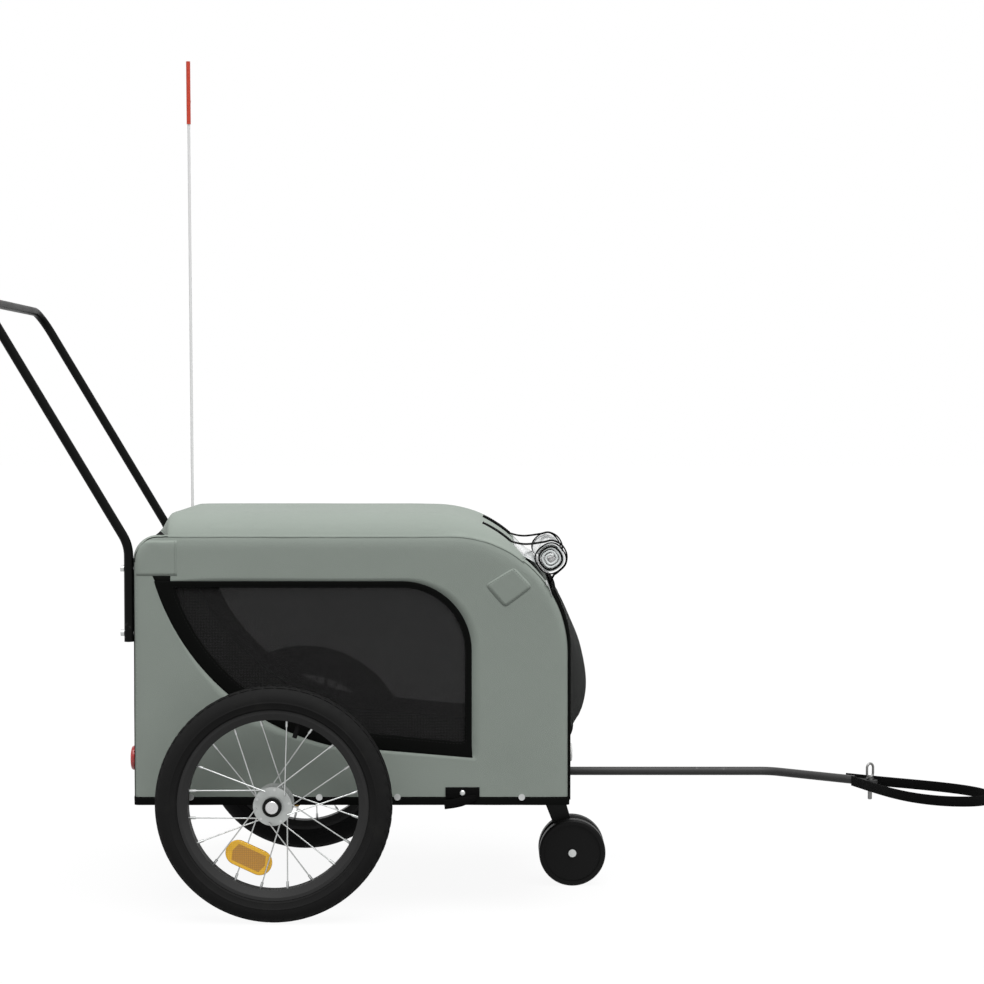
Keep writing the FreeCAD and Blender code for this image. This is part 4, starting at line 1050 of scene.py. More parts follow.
@dataclass(frozen=True)
class SideProfile:
    """The cabin seen from the side: its outline and the window in it.

    The runs tell how many faces lie along each stretch of the outline and of the window. The shifts
    tell how far the points of the window's swept edge move when that edge is drawn in.
    """

    rear: float
    front: float
    top: float
    hem: float
    half: float
    rear_bend: float = 41.5
    front_bend: float = 200.0
    runs: tuple = (46, 10, 55, 40, 28)
    window_top: float = 567.0
    window_front: float = 330.0
    window_sill: float = 268.0
    window_rear: float = -207.0
    window_corner: float = 118.0
    window_runs: tuple = (40, 24, 18, 24, 44)
    sill_turn: Pair = (96.0, 20.0)
    sweep_by: Pair = (-87.0, 380.0)
    turn_shift: float = 0.35
    by_shift: Pair = (0.68, 0.74)
    start_shift: Pair = (1.1, 0.6)
    middle: Pair = (100.0, 440.0)

    @classmethod
    def from_frame(cls) -> "SideProfile":
        """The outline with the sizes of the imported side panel."""
        low, high = span("side_panel_right")
        return cls(low.x, high.x, high.z, low.z, -low.y)

    @property
    def front_middle(self) -> Pair:
        """The centre of the front bend."""
        return self.front - self.front_bend, self.top - self.front_bend

    @property
    def rear_middle(self) -> Pair:
        """The centre of the rear bend."""
        return self.rear + self.rear_bend, self.top - self.rear_bend

    def outline(self, gap: float = 0.0) -> list[Pair]:
        """The outline from the rear hem over the top to the front hem.

        Args:
            gap: how far outside the cabin it runs.

        Returns:
            Its points, about 9 mm apart.
        """
        up, rear_turn, along, front_turn, down = self.runs
        rear, front, top = self.rear - gap, self.front + gap, self.top + gap
        (rx, rz), (fx, fz) = self.rear_middle, self.front_middle
        points = straight((rear, self.hem), (rear, rz), up)[:-1]
        points += arc((rx, rz), self.rear_bend + gap, 180.0, 90.0, rear_turn)
        points += straight((rx, top), (fx, top), along)[1:-1]
        points += arc((fx, fz), self.front_bend + gap, 90.0, 0.0, front_turn)
        return points + straight((front, fz), (front, self.hem), down)[1:]

    def depth(self, x: float, z: float) -> float:
        """How far inside the outline a point is.

        Args:
            x: along the trailer.
            z: above the floor.

        Returns:
            Millimetres, below zero outside.
        """
        (fx, fz), (rx, rz) = self.front_middle, self.rear_middle
        if x > fx and z > fz:
            return self.front_bend - math.hypot(x - fx, z - fz)
        if x < rx and z > rz:
            return self.rear_bend - math.hypot(x - rx, z - rz)
        return min(x - self.rear, self.front - x, self.top - z)

    def window(self, edge: float = 0.0, sweep: float = 0.0, sill: float = 0.0) -> list[Pair]:
        """The window's closed outline.

        Args:
            edge: how far it is drawn in at the top and front.
            sweep: how far at the swept rear edge.
            sill: how far at the sill.

        Returns:
            Its points.
        """
        along, bend, down, back, swept = self.window_runs
        top, front = self.window_top - edge, self.window_front - edge
        low = self.window_sill + sill
        corner = self.window_corner - edge
        turn = (self.sill_turn[0] + sweep * self.turn_shift, low + self.sill_turn[1])
        by = (self.sweep_by[0] + sweep * self.by_shift[0], self.sweep_by[1] + sweep * self.by_shift[1])
        start = (self.window_rear + sweep * self.start_shift[0] + edge * self.start_shift[1], top)
        points = straight(start, (front - corner, top), along)[:-1]
        points += arc((front - corner, top - corner), corner, 90.0, 0.0, bend)
        points += straight((front, top - corner), (front, low), down)[1:-1]
        points += straight((front, low), turn, back)[:-1]
        return points + arc_through(turn, by, start, swept)[:-1]

    def reach(self, ring: Sequence[Pair], toward: Pair) -> Pair:
        """Where the ray from the window's middle towards a point crosses a closed outline.

        Args:
            ring: the closed outline.
            toward: the point.

        Returns:
            The crossing.
        """
        cx, cz = self.middle
        dx, dz = toward[0] - cx, toward[1] - cz
        for (ax, az), (bx, bz) in zip(ring, [*ring[1:], ring[0]]):
            ex, ez = bx - ax, bz - az
            cross = dx * ez - dz * ex
            if abs(cross) > PARALLEL:
                along = ((ax - cx) * ez - (az - cz) * ex) / cross
                share = ((ax - cx) * dz - (az - cz) * dx) / cross
                if along > 0 and -SLACK <= share <= 1 + SLACK:
                    return cx + dx * along, cz + dz * along
        return toward


@dataclass
class SidePanel:
    """One side of the cabin: cloth rolled over the hoop, a net window with its binding, patches and seams.

    A wave is its share, its length and its seed. A row of the binding is its share of the width and its rise.
    """

    side: Side
    profile: SideProfile
    roll: float = 9.0
    roll_width: float = 15.0
    roof_roll: float = 4.6
    roof_width: float = 21.0
    roof_from: float = 44.0
    roof_blend: float = 14.0
    roof_above: float = 100.0
    puff: float = 0.9
    waves: tuple = ((0.7, 150.0, 3.1), (0.3, 52.0, 7.7))
    hem_runs: int = 60
    edge_rows: tuple = (0.0, 1.5, 4.0, 7.5, 11.5, 16.0)
    inner_rows: int = 9
    net_y: float = 246.3
    net_sag: float = 2.5
    net_rows: tuple = (1.03, 0.9, 0.75, 0.6, 0.45, 0.3, 0.15, 0.0)
    net_flat: Pair = (560.0, 330.0)
    bind_edge: float = 10.0
    bind_sweep: float = 23.0
    bind_sill: float = 24.0
    bind_lift: float = 0.4
    bind_rows: tuple = ((-0.06, 0.0), (0.0, 0.5), (0.12, 0.7), (0.5, 0.5), (0.88, 0.2), (1.0, -0.6),
                        (1.0, -2.6))
    bind_seam: Pair = (0.86, 0.4)
    bind_tab: tuple = (560.0, 578.0, 0.45, 26.0)
    tab_runs: tuple = (2, 4)
    rear_patch: tuple = (-170.0, 577.0, 637.0)
    rear_patch_runs: tuple = (12, 14)
    diamond: tuple = ((403.0, 592.0), (435.0, 558.0), (387.0, 522.0), (353.0, 561.0))
    diamond_ease: float = 0.07
    diamond_power: int = 6
    diamond_runs: int = 8
    patch_lift: float = 0.5
    patch_seam: tuple = (3.5, 3.0, 8.0)
    patch_seam_lift: float = 0.5
    patch_seam_runs: int = 10
    diamond_seam: float = 0.88
    seam_lift: float = 0.2
    seam_inset: float = 6.0
    seam_foot: int = 20
    seam_step: int = 6
    front_points: int = 62
    top_inset: float = 5.0
    top_past: int = 30
    top_step: int = 8

    @property
    def out(self) -> Vector:
        """The direction that this side faces."""
        return Vector((0.0, self.side.value, 0.0))

    def roof_share(self, x: float, z: float) -> float:
        """How far the cloth's edge has gone over from the upright roll to the flatter one under the roof.

        Args:
            x: along the trailer.
            z: above the floor.

        Returns:
            A share from 0 to 1.
        """
        fx, fz = self.profile.front_middle
        if x <= self.profile.rear_middle[0]:
            return 0.0
        lean = 90.0 if z > fz + self.roof_above else 0.0
        if x > fx and z > fz:
            lean = math.degrees(math.atan2(z - fz, x - fx))
        return clamp((lean - self.roof_from) / self.roof_blend)

    def rolled(self, x: float, z: float) -> float:
        """How deep the cloth is rolled in where it goes over the hoop.

        Args:
            x: along the trailer.
            z: above the floor.

        Returns:
            Millimetres.
        """
        share = self.roof_share(x, z)
        inside = max(0.0, self.profile.depth(x, z))
        back = max(0.0, 1 - inside / blend(self.roll_width, self.roof_width, share))
        round_over = 1 - math.sqrt(1 - back * back)
        return blend(self.roll, self.roof_roll, share) * blend(round_over, back * back, share)

    def on(self, x: float, z: float, lift: float = 0.0) -> Vector:
        """A point on the cloth, lifted off it.

        Args:
            x: along the trailer.
            z: above the floor.
            lift: how far it stands off the cloth.

        Returns:
            The point.
        """
        soft = sum(ruffle(x, z, share, wave, self.side.value * seed) for share, wave, seed in self.waves)
        y = self.profile.half - self.rolled(x, z) + self.puff * soft + lift
        return Vector((x, y * self.side.value, z))

    def cloth(self) -> Piece:
        """The grey cloth round the window.

        Returns:
            The sheet.
        """
        window, outline = self.profile.window(), self.profile.outline()
        outline += straight(outline[-1], outline[0], self.hem_runs)[1:-1]
        rows = []
        for edge in outline:
            inner = self.profile.reach(window, edge)
            shares = [away / math.dist(edge, inner) for away in self.edge_rows]
            shares += steps(shares[-1], 1.0, self.inner_rows)[1:]
            rows.append([self.on(*part_way(edge, inner, share)) for share in shares])
        node = "side_panel_" + self.side.word
        shape = Shape().skin(rows, 0, True)
        return shape.build("cloth_" + node, [GREY_CLOTH], "cloth_grey", [node], thick=1.2)

    def net(self) -> Piece:
        """The net behind the window.

        Returns:
            The sheet.
        """
        rows = []
        for share in self.net_rows:
            y = (self.net_y - max(0.0, self.net_sag * (1 - share * share))) * self.side.value
            ring = [part_way(self.profile.middle, place, share) for place in self.profile.window()]
            rows.append([Vector((x, y, z)) for x, z in ring])
        node = "window_mesh_" + self.side.word
        finish = RIGHT_NET if self.side is Side.RIGHT else LEFT_NET
        shape = Shape().skin(rows, 0, False, True)
        return shape.build("net_" + node, [finish], "mesh_black", [node], thick=0.6)

    def binding(self) -> Piece:
        """The black tape sewn round the window, with its row of stitches and the tab at its rear corner.

        Returns:
            The piece.
        """
        inner = self.profile.window(self.bind_edge, self.bind_sweep, self.bind_sill)
        seam_share, seam_rise = self.bind_seam
        rows, line = [], []
        for edge in self.profile.window():
            other = self.profile.reach(inner, edge)
            rows.append([self.on(*part_way(edge, other, share), self.bind_lift + rise)
                         for share, rise in self.bind_rows])
            line.append(self.on(*part_way(edge, other, seam_share), self.bind_lift + seam_rise))
        shape = Shape().skin(rows, 0, True)
        low, high, lean, wide = self.bind_tab
        right = self.profile.window_rear + wide
        up, along = self.tab_runs
        tab = []
        for z in steps(low, high, up):
            left = self.profile.window_rear - lean * (z - self.profile.window_top)
            tab.append([self.on(x, z, self.bind_lift) for x in steps(left, right, along)])
        shape.skin(tab).stitches(line, self.out, TAPE_STITCH, tint=1)
        return shape.build("binding_" + self.side.word, [BINDING, BLACK_THREAD], "cloth_black", thick=0.8)

    def patches(self) -> Piece:
        """The doubled cloth at the rear top corner and the diamond near the front.

        Returns:
            The piece.
        """
        right, low, high = self.rear_patch
        up, along = self.rear_patch_runs
        rx, rz = self.profile.rear_middle
        rows = []
        for z in steps(low, high, up):
            left = rx - math.sqrt(self.profile.rear_bend ** 2 - max(0.0, z - rz) ** 2)
            rows.append([self.on(x, z, self.patch_lift) for x in steps(right, left, along)])
        shape = Shape().skin(rows)
        a, b, c, d = self.diamond
        shares = steps(0.0, 1.0, self.diamond_runs)
        rows = []
        for u in shares:
            row = []
            for v in shares:
                place = part_way(part_way(a, b, v), part_way(d, c, v), u)
                corner = (abs(2 * u - 1) * abs(2 * v - 1)) ** self.diamond_power
                ease = 1 - self.diamond_ease * corner
                row.append(self.on(*part_way(part_way(a, c, 0.5), place, ease), self.patch_lift))
            rows.append(row)
        shape.skin(rows)
        return shape.build("patches_" + self.side.word, [GREY_CLOTH], "cloth_grey", thick=0.7)

    def patch_lines(self) -> list[tuple[Pair, Pair]]:
        """The straight seams along the rear patch and round the diamond.

        Returns:
            Their two ends.
        """
        right, low, high = self.rear_patch
        inset, foot, rear = self.patch_seam
        middle = tuple(sum(part) / len(self.diamond) for part in zip(*self.diamond))
        ring = [part_way(middle, corner, self.diamond_seam) for corner in self.diamond]
        return [((right - inset, high), (right - inset, low + foot)),
                ((right - inset, low + inset), (self.profile.rear + rear, low + inset)),
                *zip(ring, ring[1:] + ring[:1])]

    def seams(self) -> Piece:
        """Rows of thread: across both upright edges, along the top and round the patches.

        Returns:
            The piece.
        """
        p, lift, step = self.profile, self.seam_lift, self.seam_step
        right, low, _ = self.rear_patch
        heights = range(int(p.hem) + self.seam_foot, int(low) - step, step)
        rear = [self.on(p.rear + self.seam_inset, z, lift) for z in heights]
        ends = p.outline(-self.seam_inset)[-self.front_points:]
        front = [self.on(x, z, lift) for x, z in ends if z > p.hem + self.seam_foot]
        places = range(int(right) + step, int(p.front_middle[0]) + self.top_past, self.top_step)
        top = [self.on(x, p.top - self.top_inset, lift) for x in places]
        shape = Shape().stitches(rear, self.out, REAR_STITCH, across=True)
        shape.stitches(front, self.out, FRONT_STITCH).stitches(top, self.out, TOP_STITCH, tint=1)
        lift = self.patch_lift + self.patch_seam_lift
        for first, last in self.patch_lines():
            line = [self.on(x, z, lift) for x, z in straight(first, last, self.patch_seam_runs)]
            shape.stitches(line, self.out, PATCH_STITCH, tint=1)
        return shape.build("seams_" + self.side.word, [GREY_THREAD, DARK_THREAD], "cloth_grey")

    def build(self) -> None:
        """Make this side's pieces."""
        cloth, net = self.cloth(), self.net()
        sewn_on = [self.binding(), self.patches(), self.seams()]
        flat = (self.profile.front - self.profile.rear, self.profile.top - self.profile.hem)
        declare_sheet(cloth, flat)
        declare_sheet(net, self.net_flat)


@dataclass
class Roof:
    """The crowned roof: one sheet from the rear corner to above the front door, with rounded shoulders.

    The two waves are a height, a length and a seed. The hollow starts, is deepest and ends at three places
    along the trailer, and fades between two distances from its middle. The runs tell how many faces lie
    along each stretch from the rear to the front, and from the ridge to a shoulder's edge.
    """

    profile: SideProfile
    runs: tuple = (3, 18, 44, 26)
    half_runs: tuple = (9, 14)
    top: float = 682.0
    rear_bend: float = 60.0
    front_bend: float = 230.0
    front_inset: float = 4.0
    shoulder: float = 78.0
    shoulder_turn: float = 93.0
    shoulder_most: float = 1.1
    shoulder_least: float = 1.0
    front_end: float = 43.0
    rear_end: float = 600.0
    black_until: float = -228.0
    gusset_rows: float = 9.0
    gusset_from: float = 150.0
    edge_inset: float = 2.0
    edge_past: float = 0.002
    soft: tuple = (0.5, 120.0, 5.5)
    pucker: tuple = (0.8, 21.0, 4.5)
    pucker_inset: float = 20.0
    taut_foot: Pair = (-244.5, 612.0)
    taut_top: Pair = (-190.0, 679.0)
    taut_past: float = 30.0
    taut_sag: float = 5.0
    taut_round: float = 4.0
    tuck: float = 9.0
    tuck_from: float = 333.0
    tuck_power: float = 1.5
    hollow: float = 6.0
    hollow_at: tuple = (205.0, 350.0, 440.0)
    hollow_fade: float = 0.6
    hollow_side: Pair = (120.0, 225.0)
    lap: float = 3.0
    lap_step: float = 0.5
    sag: float = 2.2
    sag_span: Pair = (-185.0, 200.0)
    crown_power: int = 6
    seam_columns: tuple = (5, 6, -6, -7)
    seam_crown: float = 120.0
    seam_lift: float = 0.6
    tape: float = 1.1
    flat: Pair = (960.0, 560.0)

    @property
    def front_middle(self) -> Pair:
        """The centre of the front bend."""
        return self.profile.front - self.front_inset - self.front_bend, self.top - self.front_bend

    def stations(self) -> list[tuple[Pair, Pair]]:
        """Places along the roof's ridge from the rear to the front.

        Returns:
            Each place with the direction that the roof faces there.
        """
        up, rear_turn, along, front_turn = self.runs
        rear = self.profile.rear
        mx, mz = rear + self.rear_bend, self.top - self.rear_bend
        fx, fz = self.front_middle
        found = [((rear, z), (-1.0, 0.0)) for z in steps(self.rear_end, mz, up)[:-1]]
        for x, z in arc((mx, mz), self.rear_bend, 180.0, 90.0, rear_turn):
            found.append(((x, z), ((x - mx) / self.rear_bend, (z - mz) / self.rear_bend)))
        found += [((x, self.top), (0.0, 1.0)) for x in steps(mx, fx, along)[1:-1]]
        for x, z in arc((fx, fz), self.front_bend, 90.0, self.front_end, front_turn):
            found.append(((x, z), ((x - fx) / self.front_bend, (z - fz) / self.front_bend)))
        return found

    def taut(self, place: Pair, facing: Pair) -> float:
        """How far the cloth lies inside its round bends, where it is pulled straight to the cabin's ends.

        Args:
            place: the roof's ridge at this station.
            facing: the direction that it faces there.

        Returns:
            Millimetres.
        """
        (ax, az), (bx, bz) = self.taut_foot, self.taut_top
        if place[0] < bx + self.taut_past:
            nx, nz = az - bz, bx - ax
            deep = (nx * (place[0] - ax) + nz * (place[1] - az)) / (nx * facing[0] + nz * facing[1])
            share = clamp((place[0] - ax) / (bx - ax))
            eased = (deep + math.hypot(deep, self.taut_round)) / 2
            return eased + 4 * self.taut_sag * share * (1 - share)
        last = self.front_middle[0] + self.front_bend * math.cos(math.radians(self.front_end))
        share = max(0.0, (place[0] - self.tuck_from) / (last - self.tuck_from))
        return self.tuck * share ** self.tuck_power

    def hollowed(self, x: float, y: float) -> float:
        """How far the cloth sags between its shoulders, in front of the front bow.

        Args:
            x: along the trailer.
            y: across it.

        Returns:
            Millimetres.
        """
        start, most, end = self.hollow_at
        if x < start:
            return 0.0
        along = (x - start) / (most - start) if x < most else 1 - self.hollow_fade * (x - most) / (end - most)
        near, far = self.hollow_side
        away = 1 - clamp((abs(y) - near) / (far - near))
        return self.hollow * along * along * (3 - 2 * along) * away * away * (3 - 2 * away)

    def section(self, place: Pair, facing: Pair) -> list[Vector]:
        """One row across the roof, from the right shoulder to the left one.

        Args:
            place: the roof's ridge at this station.
            facing: the direction that it faces there.

        Returns:
            The row's points.
        """
        flat = self.profile.half - self.shoulder - self.edge_inset
        most = self.shoulder * self.shoulder_most
        while (most > self.shoulder_least
               and self.profile.depth(*(p - f * most for p, f in zip(place, facing))) > self.lap):
            most -= self.lap_step
        flat_runs, turn_runs = self.half_runs
        half = [(y, 0.0) for y in steps(0.0, flat, flat_runs)[:-1]]
        for degrees in steps(0.0, self.shoulder_turn, turn_runs):
            turn = math.radians(degrees)
            inset = min(self.shoulder * (1 - math.cos(turn)), most)
            half.append((flat + self.shoulder * min(1.0, math.sin(turn) + self.edge_past), inset))
        taut = self.taut(place, facing)
        start, end = self.sag_span
        between = math.sin(math.pi * clamp((place[0] - start) / (end - start))) ** 2
        row = []
        for y, inset in [(-y, d) for y, d in reversed(half[1:])] + half:
            crown = max(0.0, 1 - (y / flat) ** 2) * max(0.0, facing[1]) ** self.crown_power
            dip = min(inset + taut, max(most, taut)) + self.hollowed(place[0], y)
            dip += self.sag * crown * between
            dip -= ruffle(place[0], y, *self.soft) * (inset < self.shoulder)
            dip += ruffle(place[0], 0.0, *self.pucker) * min(1.0, inset / self.pucker_inset)
            row.append(Vector((place[0] - facing[0] * dip, y, place[1] - facing[1] * dip)))
        return row

    def gusseted(self, rows: list[list[Vector]], end: int) -> list[list[Vector]]:
        """The rows with the edge of the black end drawn forward at the roof's two rear corners.

        Args:
            rows: the roof's rows from the rear to the front.
            end: the row that the black end reaches.

        Returns:
            As many rows, on the same surface.
        """
        drawn = []
        for i, row in enumerate(rows):
            weight = max(0.0, min(i / end, 1 - (i - end) / (2 * self.gusset_rows)))
            moved = []
            for j, point in enumerate(row):
                corner = max(0.0, (abs(point.y) - self.gusset_from) / (self.profile.half - self.gusset_from))
                at = i + self.gusset_rows * weight * corner * corner
                k = min(int(at), len(rows) - 2)
                moved.append(rows[k][j].lerp(rows[k + 1][j], at - k))
            drawn.append(moved)
        return drawn

    def build(self) -> None:
        """Make the roof, its seams and the tape along its front edge."""
        stations = self.stations()
        end = next(i for i, station in enumerate(stations) if station[0][0] >= self.black_until)
        rows = self.gusseted([self.section(*station) for station in stations], end)
        shape = Shape().skin(rows, lambda i, j: int(i < end))
        finishes = [GREY_CLOTH, BLACK_CLOTH]
        roof = shape.build("cloth_roof_panel", finishes, "cloth_roof", ["roof_panel"], thick=1.2)
        threads = Shape()
        for column in self.seam_columns:
            line = [row[column] for row in rows[end + 2:]]
            threads.stitches(line, lambda p: Vector((0.0, p.y, self.seam_crown)), ROOF_STITCH)
        back = UPWARD - AHEAD
        threads.stitches([point + back * self.seam_lift for point in rows[end + 1]], back, ROOF_STITCH)
        seams = threads.build("seams_roof", [DARK_THREAD], "cloth_roof")
        tape = Shape().sweep(rows[-1], ring_section(self.tape))
        tape = tape.build("tape_roof", [GREY_CLOTH], "cloth_roof")
        declare_sheet(roof, self.flat)


@dataclass
class DoorPanel:
    """An end of the cabin: black cloth with an opening, and the bowed net door over it.

    The swell is the door's bulge, as shares of the most, at shares of its height.
    """

    profile: SideProfile
    sign: int
    node: str
    door: str
    door_body: str
    net: Netting
    half: float
    low: float
    high: float
    bulge: float
    swell: tuple
    cloth_top: float
    lap: float = 11.0
    cloth_half: float = 247.0
    cloth_in: float = 0.9
    cloth_soft: tuple = (0.5, 90.0, 2.5)
    bend_in: float = 0.3
    rows: tuple = (12, 24, 8)
    columns: tuple = (6, 30)
    door_gap: float = 2.1
    door_rows: int = 30
    door_columns: int = 32
    door_soft: tuple = (0.6, 70.0, 9.0)
    swell_runs: int = 8
    rim: Pair = (2.4, 9.0)
    seam_at: int = 2
    seam_lift: float = 0.6
    cloth_fold: float = 120.0
    net_fold: Pair = (12.0, 40.0)

    def face_x(self, z: float) -> float:
        """Where the end's cloth is at a height.

        Args:
            z: above the floor.

        Returns:
            The place along the trailer.
        """
        if self.sign < 0:
            return self.profile.rear
        fx, fz = self.profile.front_middle
        radius = self.profile.front_bend - self.bend_in
        return fx + math.sqrt(max(0.0, radius ** 2 - max(0.0, z - fz) ** 2))

    def cloth(self) -> Piece:
        """The cloth round the doorway, grey above it at the front.

        Returns:
            The sheet.
        """
        below, beside_door, above = self.rows
        beside, over_door = self.columns
        foot, head, door = self.low + self.lap, self.high - self.lap, self.half - self.lap
        heights = steps(self.profile.hem, foot, below)[:-1] + steps(foot, head, beside_door)[:-1]
        heights += steps(head, self.cloth_top, above)
        places = steps(-self.cloth_half, -door, beside)[:-1] + steps(-door, door, over_door)[:-1]
        places += steps(door, self.cloth_half, beside)
        height, wave, seed = self.cloth_soft
        rows = []
        for z in heights:
            moves = [ruffle(y, z, height, wave, seed + self.sign) - self.cloth_in for y in places]
            rows.append([Vector((self.face_x(z) + self.sign * move, y, z)) for y, move in zip(places, moves)])

        def keep(i: int, j: int) -> bool:
            """Whether this face is cloth and not doorway."""
            return not (below <= i < below + beside_door and beside <= j < beside + over_door)

        grey_from = below + beside_door + 1
        shape = Shape().skin(rows, lambda i, j: int(self.sign > 0 and i > grey_from), keep=keep)
        finishes = [BLACK_CLOTH, GREY_CLOTH]
        return shape.build("cloth_" + self.node, finishes, "cloth_black", [self.node], thick=1.0)

    def swelling(self, share: float) -> float:
        """The door's bulge on a soft line through its given places.

        Args:
            share: how far up the door.

        Returns:
            A share of the most.
        """
        line = smooth_line([Vector((at, bulge, 0.0)) for at, bulge in self.swell], self.swell_runs)
        for low, high in zip(line, line[1:]):
            if share <= high.x:
                return low.y + (high.y - low.y) * (share - low.x) / (high.x - low.x)
        return line[-1].y

    def door_lines(self) -> list[list[Vector]]:
        """The door's net as lines across it, from its foot to its top.

        Returns:
            The lines' points.
        """
        height, wave, seed = self.door_soft
        lines = []
        for share in steps(0.0, 1.0, self.door_rows):
            z = blend(self.low, self.high, share)
            bow = self.swelling(share) * self.bulge
            line = []
            for across in steps(0.0, 1.0, self.door_columns):
                y = self.half * (2 * across - 1)
                soft = ruffle(y, z, height, wave, seed + self.sign)
                soft *= math.sin(math.pi * share) * math.sin(math.pi * across)
                out = self.door_gap + bow * (1 - (y / self.half) ** 2) + soft
                line.append(Vector((self.face_x(z) + self.sign * out, y, z)))
            lines.append(line)
        return lines

    @staticmethod
    def border(lines: list[list[Vector]]) -> list[list[Vector]]:
        """The four sides of a net: its foot, one edge, its top backwards and the other edge backwards."""
        return [lines[0], [line[-1] for line in lines], lines[-1][::-1], [line[0] for line in lines[::-1]]]

    def build(self) -> None:
        """Make the cloth, the net door, its binding and its stitches."""
        cloth = self.cloth()
        lines = self.door_lines()
        shape = Shape().skin(lines)
        net = shape.build("net_" + self.door, [self.net], "mesh_door", [self.door], self.door_body, thick=0.8)
        edge = [point for side in self.border(lines) for point in side[:-1]]
        rim = Shape().sweep(edge, strap_section(*self.rim), AHEAD, closed=True)
        out, inner = AHEAD * self.sign, slice(self.seam_at, -self.seam_at)
        for line in self.border([line[inner] for line in lines[inner]]):
            rim.stitches([point + out * self.seam_lift for point in line], out, DOOR_STITCH, tint=1)
        rim = rim.build("binding_" + self.door, [BINDING, BLACK_THREAD], "cloth_black", body=self.door_body)
        cloth_flat = (2 * self.cloth_half, lines[-1][0].z - self.profile.hem + self.cloth_fold)
        net_flat = (2 * self.half + self.net_fold[0], self.high - self.low + self.net_fold[1])
        declare_sheet(cloth, cloth_flat)
        declare_sheet(net, net_flat)


@dataclass
class CabinTrim:
    """The black hem round the foot of the cabin, the piping up its front corners and the zip pull."""

    profile: SideProfile
    hem_top: float = 199.5
    hem_low: float = 185.5
    hem_out: float = 0.9
    hem_rear: float = 0.2
    hem_step: float = 20.0
    hem_soft: tuple = (0.35, 60.0, 1.0)
    hem_fold: float = 0.8
    hem_thick: tuple = (0.5, 0.9, 0.4, -0.5, -0.9, -0.5)
    hem_slack: float = 0.5
    hem_seam: float = 2.5
    corner: float = 8.0
    corner_runs: int = 6
    piping: float = 2.4
    piping_y: float = 245.5
    piping_out: float = 0.8
    piping_top: float = 33.0
    piping_foot: float = 6.0
    piping_runs: int = 24
    pull_at: tuple = (456.5, -247.5, 569.0)
    slider: tuple = (3.0, -9.0, 7.0, 4.0)
    slider_steps: tuple = (0.0, 0.3, 0.7, 1.0)
    slider_swell: Pair = (0.7, 1.2)
    tab: tuple = (1.5, 3.0, 6.0, -20.0, 5.0, 1.2)
    tab_runs: int = 5
    tab_widens: Pair = (0.6, 0.5)

    def hem_line(self) -> list[Vector]:
        """The middle line of the band round the cabin's foot, with rounded corners.

        Returns:
            Its points.
        """
        p, r = self.profile, self.corner
        x0, x1, y1 = p.rear - self.hem_rear + r, p.front + self.hem_out - r, p.half + self.hem_out - r
        line = []
        for middle, start in (((x1, y1), 0.0), ((x0, y1), 90.0), ((x0, -y1), 180.0), ((x1, -y1), 270.0)):
            line += arc(middle, r, start, start + 90.0, self.corner_runs)
        found = []
        for first, last in zip(line, line[1:] + line[:1]):
            parts = max(1, int(math.dist(first, last) / self.hem_step))
            found += straight(first, last, parts)[:-1]
        middle_z = (self.hem_top + self.hem_low) / 2
        return [Vector((x, y, middle_z + ruffle(x, y, *self.hem_soft))) for x, y in found]

    def hem(self) -> None:
        """Make a folded band with a row of stitches along each side."""
        path, out = self.hem_line(), self.hem_out
        half = (self.hem_top - self.hem_low) / 2
        bent = half - self.hem_fold
        section = list(zip((-half, bent, half, half, bent, -half), self.hem_thick))
        shape = Shape().sweep(path, section, UPWARD, closed=True)
        for side in (Side.LEFT, Side.RIGHT):
            move = Vector((0.0, out * side.value, half - self.hem_seam))
            beside = self.profile.half + out - self.hem_slack
            row = [v + move for v in path if v.y * side.value > beside]
            shape.stitches(sorted(row, key=lambda v: v.x), ASIDE * side.value, TAPE_STITCH, tint=1)
        shape.build("hem", [BINDING, BLACK_THREAD], "cloth_black")

    def edges(self) -> None:
        """Make the piping up both front corners."""
        shape, middle = Shape(), self.profile.front_middle
        line = arc(middle, self.profile.front_bend + self.piping_out, self.piping_top, 0.0, self.piping_runs)
        front, foot = self.profile.front + self.piping_out, self.profile.hem + self.piping_foot
        line += straight((front, middle[1]), (front, foot), self.piping_runs)[1:]
        section = ring_section(self.piping)
        for side in Side:
            shape.sweep([Vector((x, self.piping_y * side.value, z)) for x, z in line], section)
        shape.build("piping_front", [BINDING], "cloth_black")

    def zip_pull(self) -> None:
        """Make the slider of the front zip with its hanging tab."""
        ahead, drop, wide, thick = self.slider
        body = [Vector(self.pull_at) + Vector((ahead * t, 0.0, drop * t)) for t in self.slider_steps]
        ends, swell = self.slider_swell
        shape = Shape().sweep(body, strap_section(wide, thick), ASIDE,
                              grow=lambda t: ends + swell * t * (1 - t))
        x, z, ahead, drop, wide, thick = self.tab
        shares = steps(0.0, 1.0, self.tab_runs)
        tab = [body[-1] + Vector((x + ahead * t, 0.0, z + drop * t)) for t in shares]
        first, more = self.tab_widens
        shape.sweep(tab, strap_section(wide, thick), ASIDE, grow=lambda t: first + more * t)
        shape.build("zip_pull", [ZINC], "zinc")

    def build(self) -> None:
        """Make the trim."""
        self.hem()
        self.edges()
        self.zip_pull()


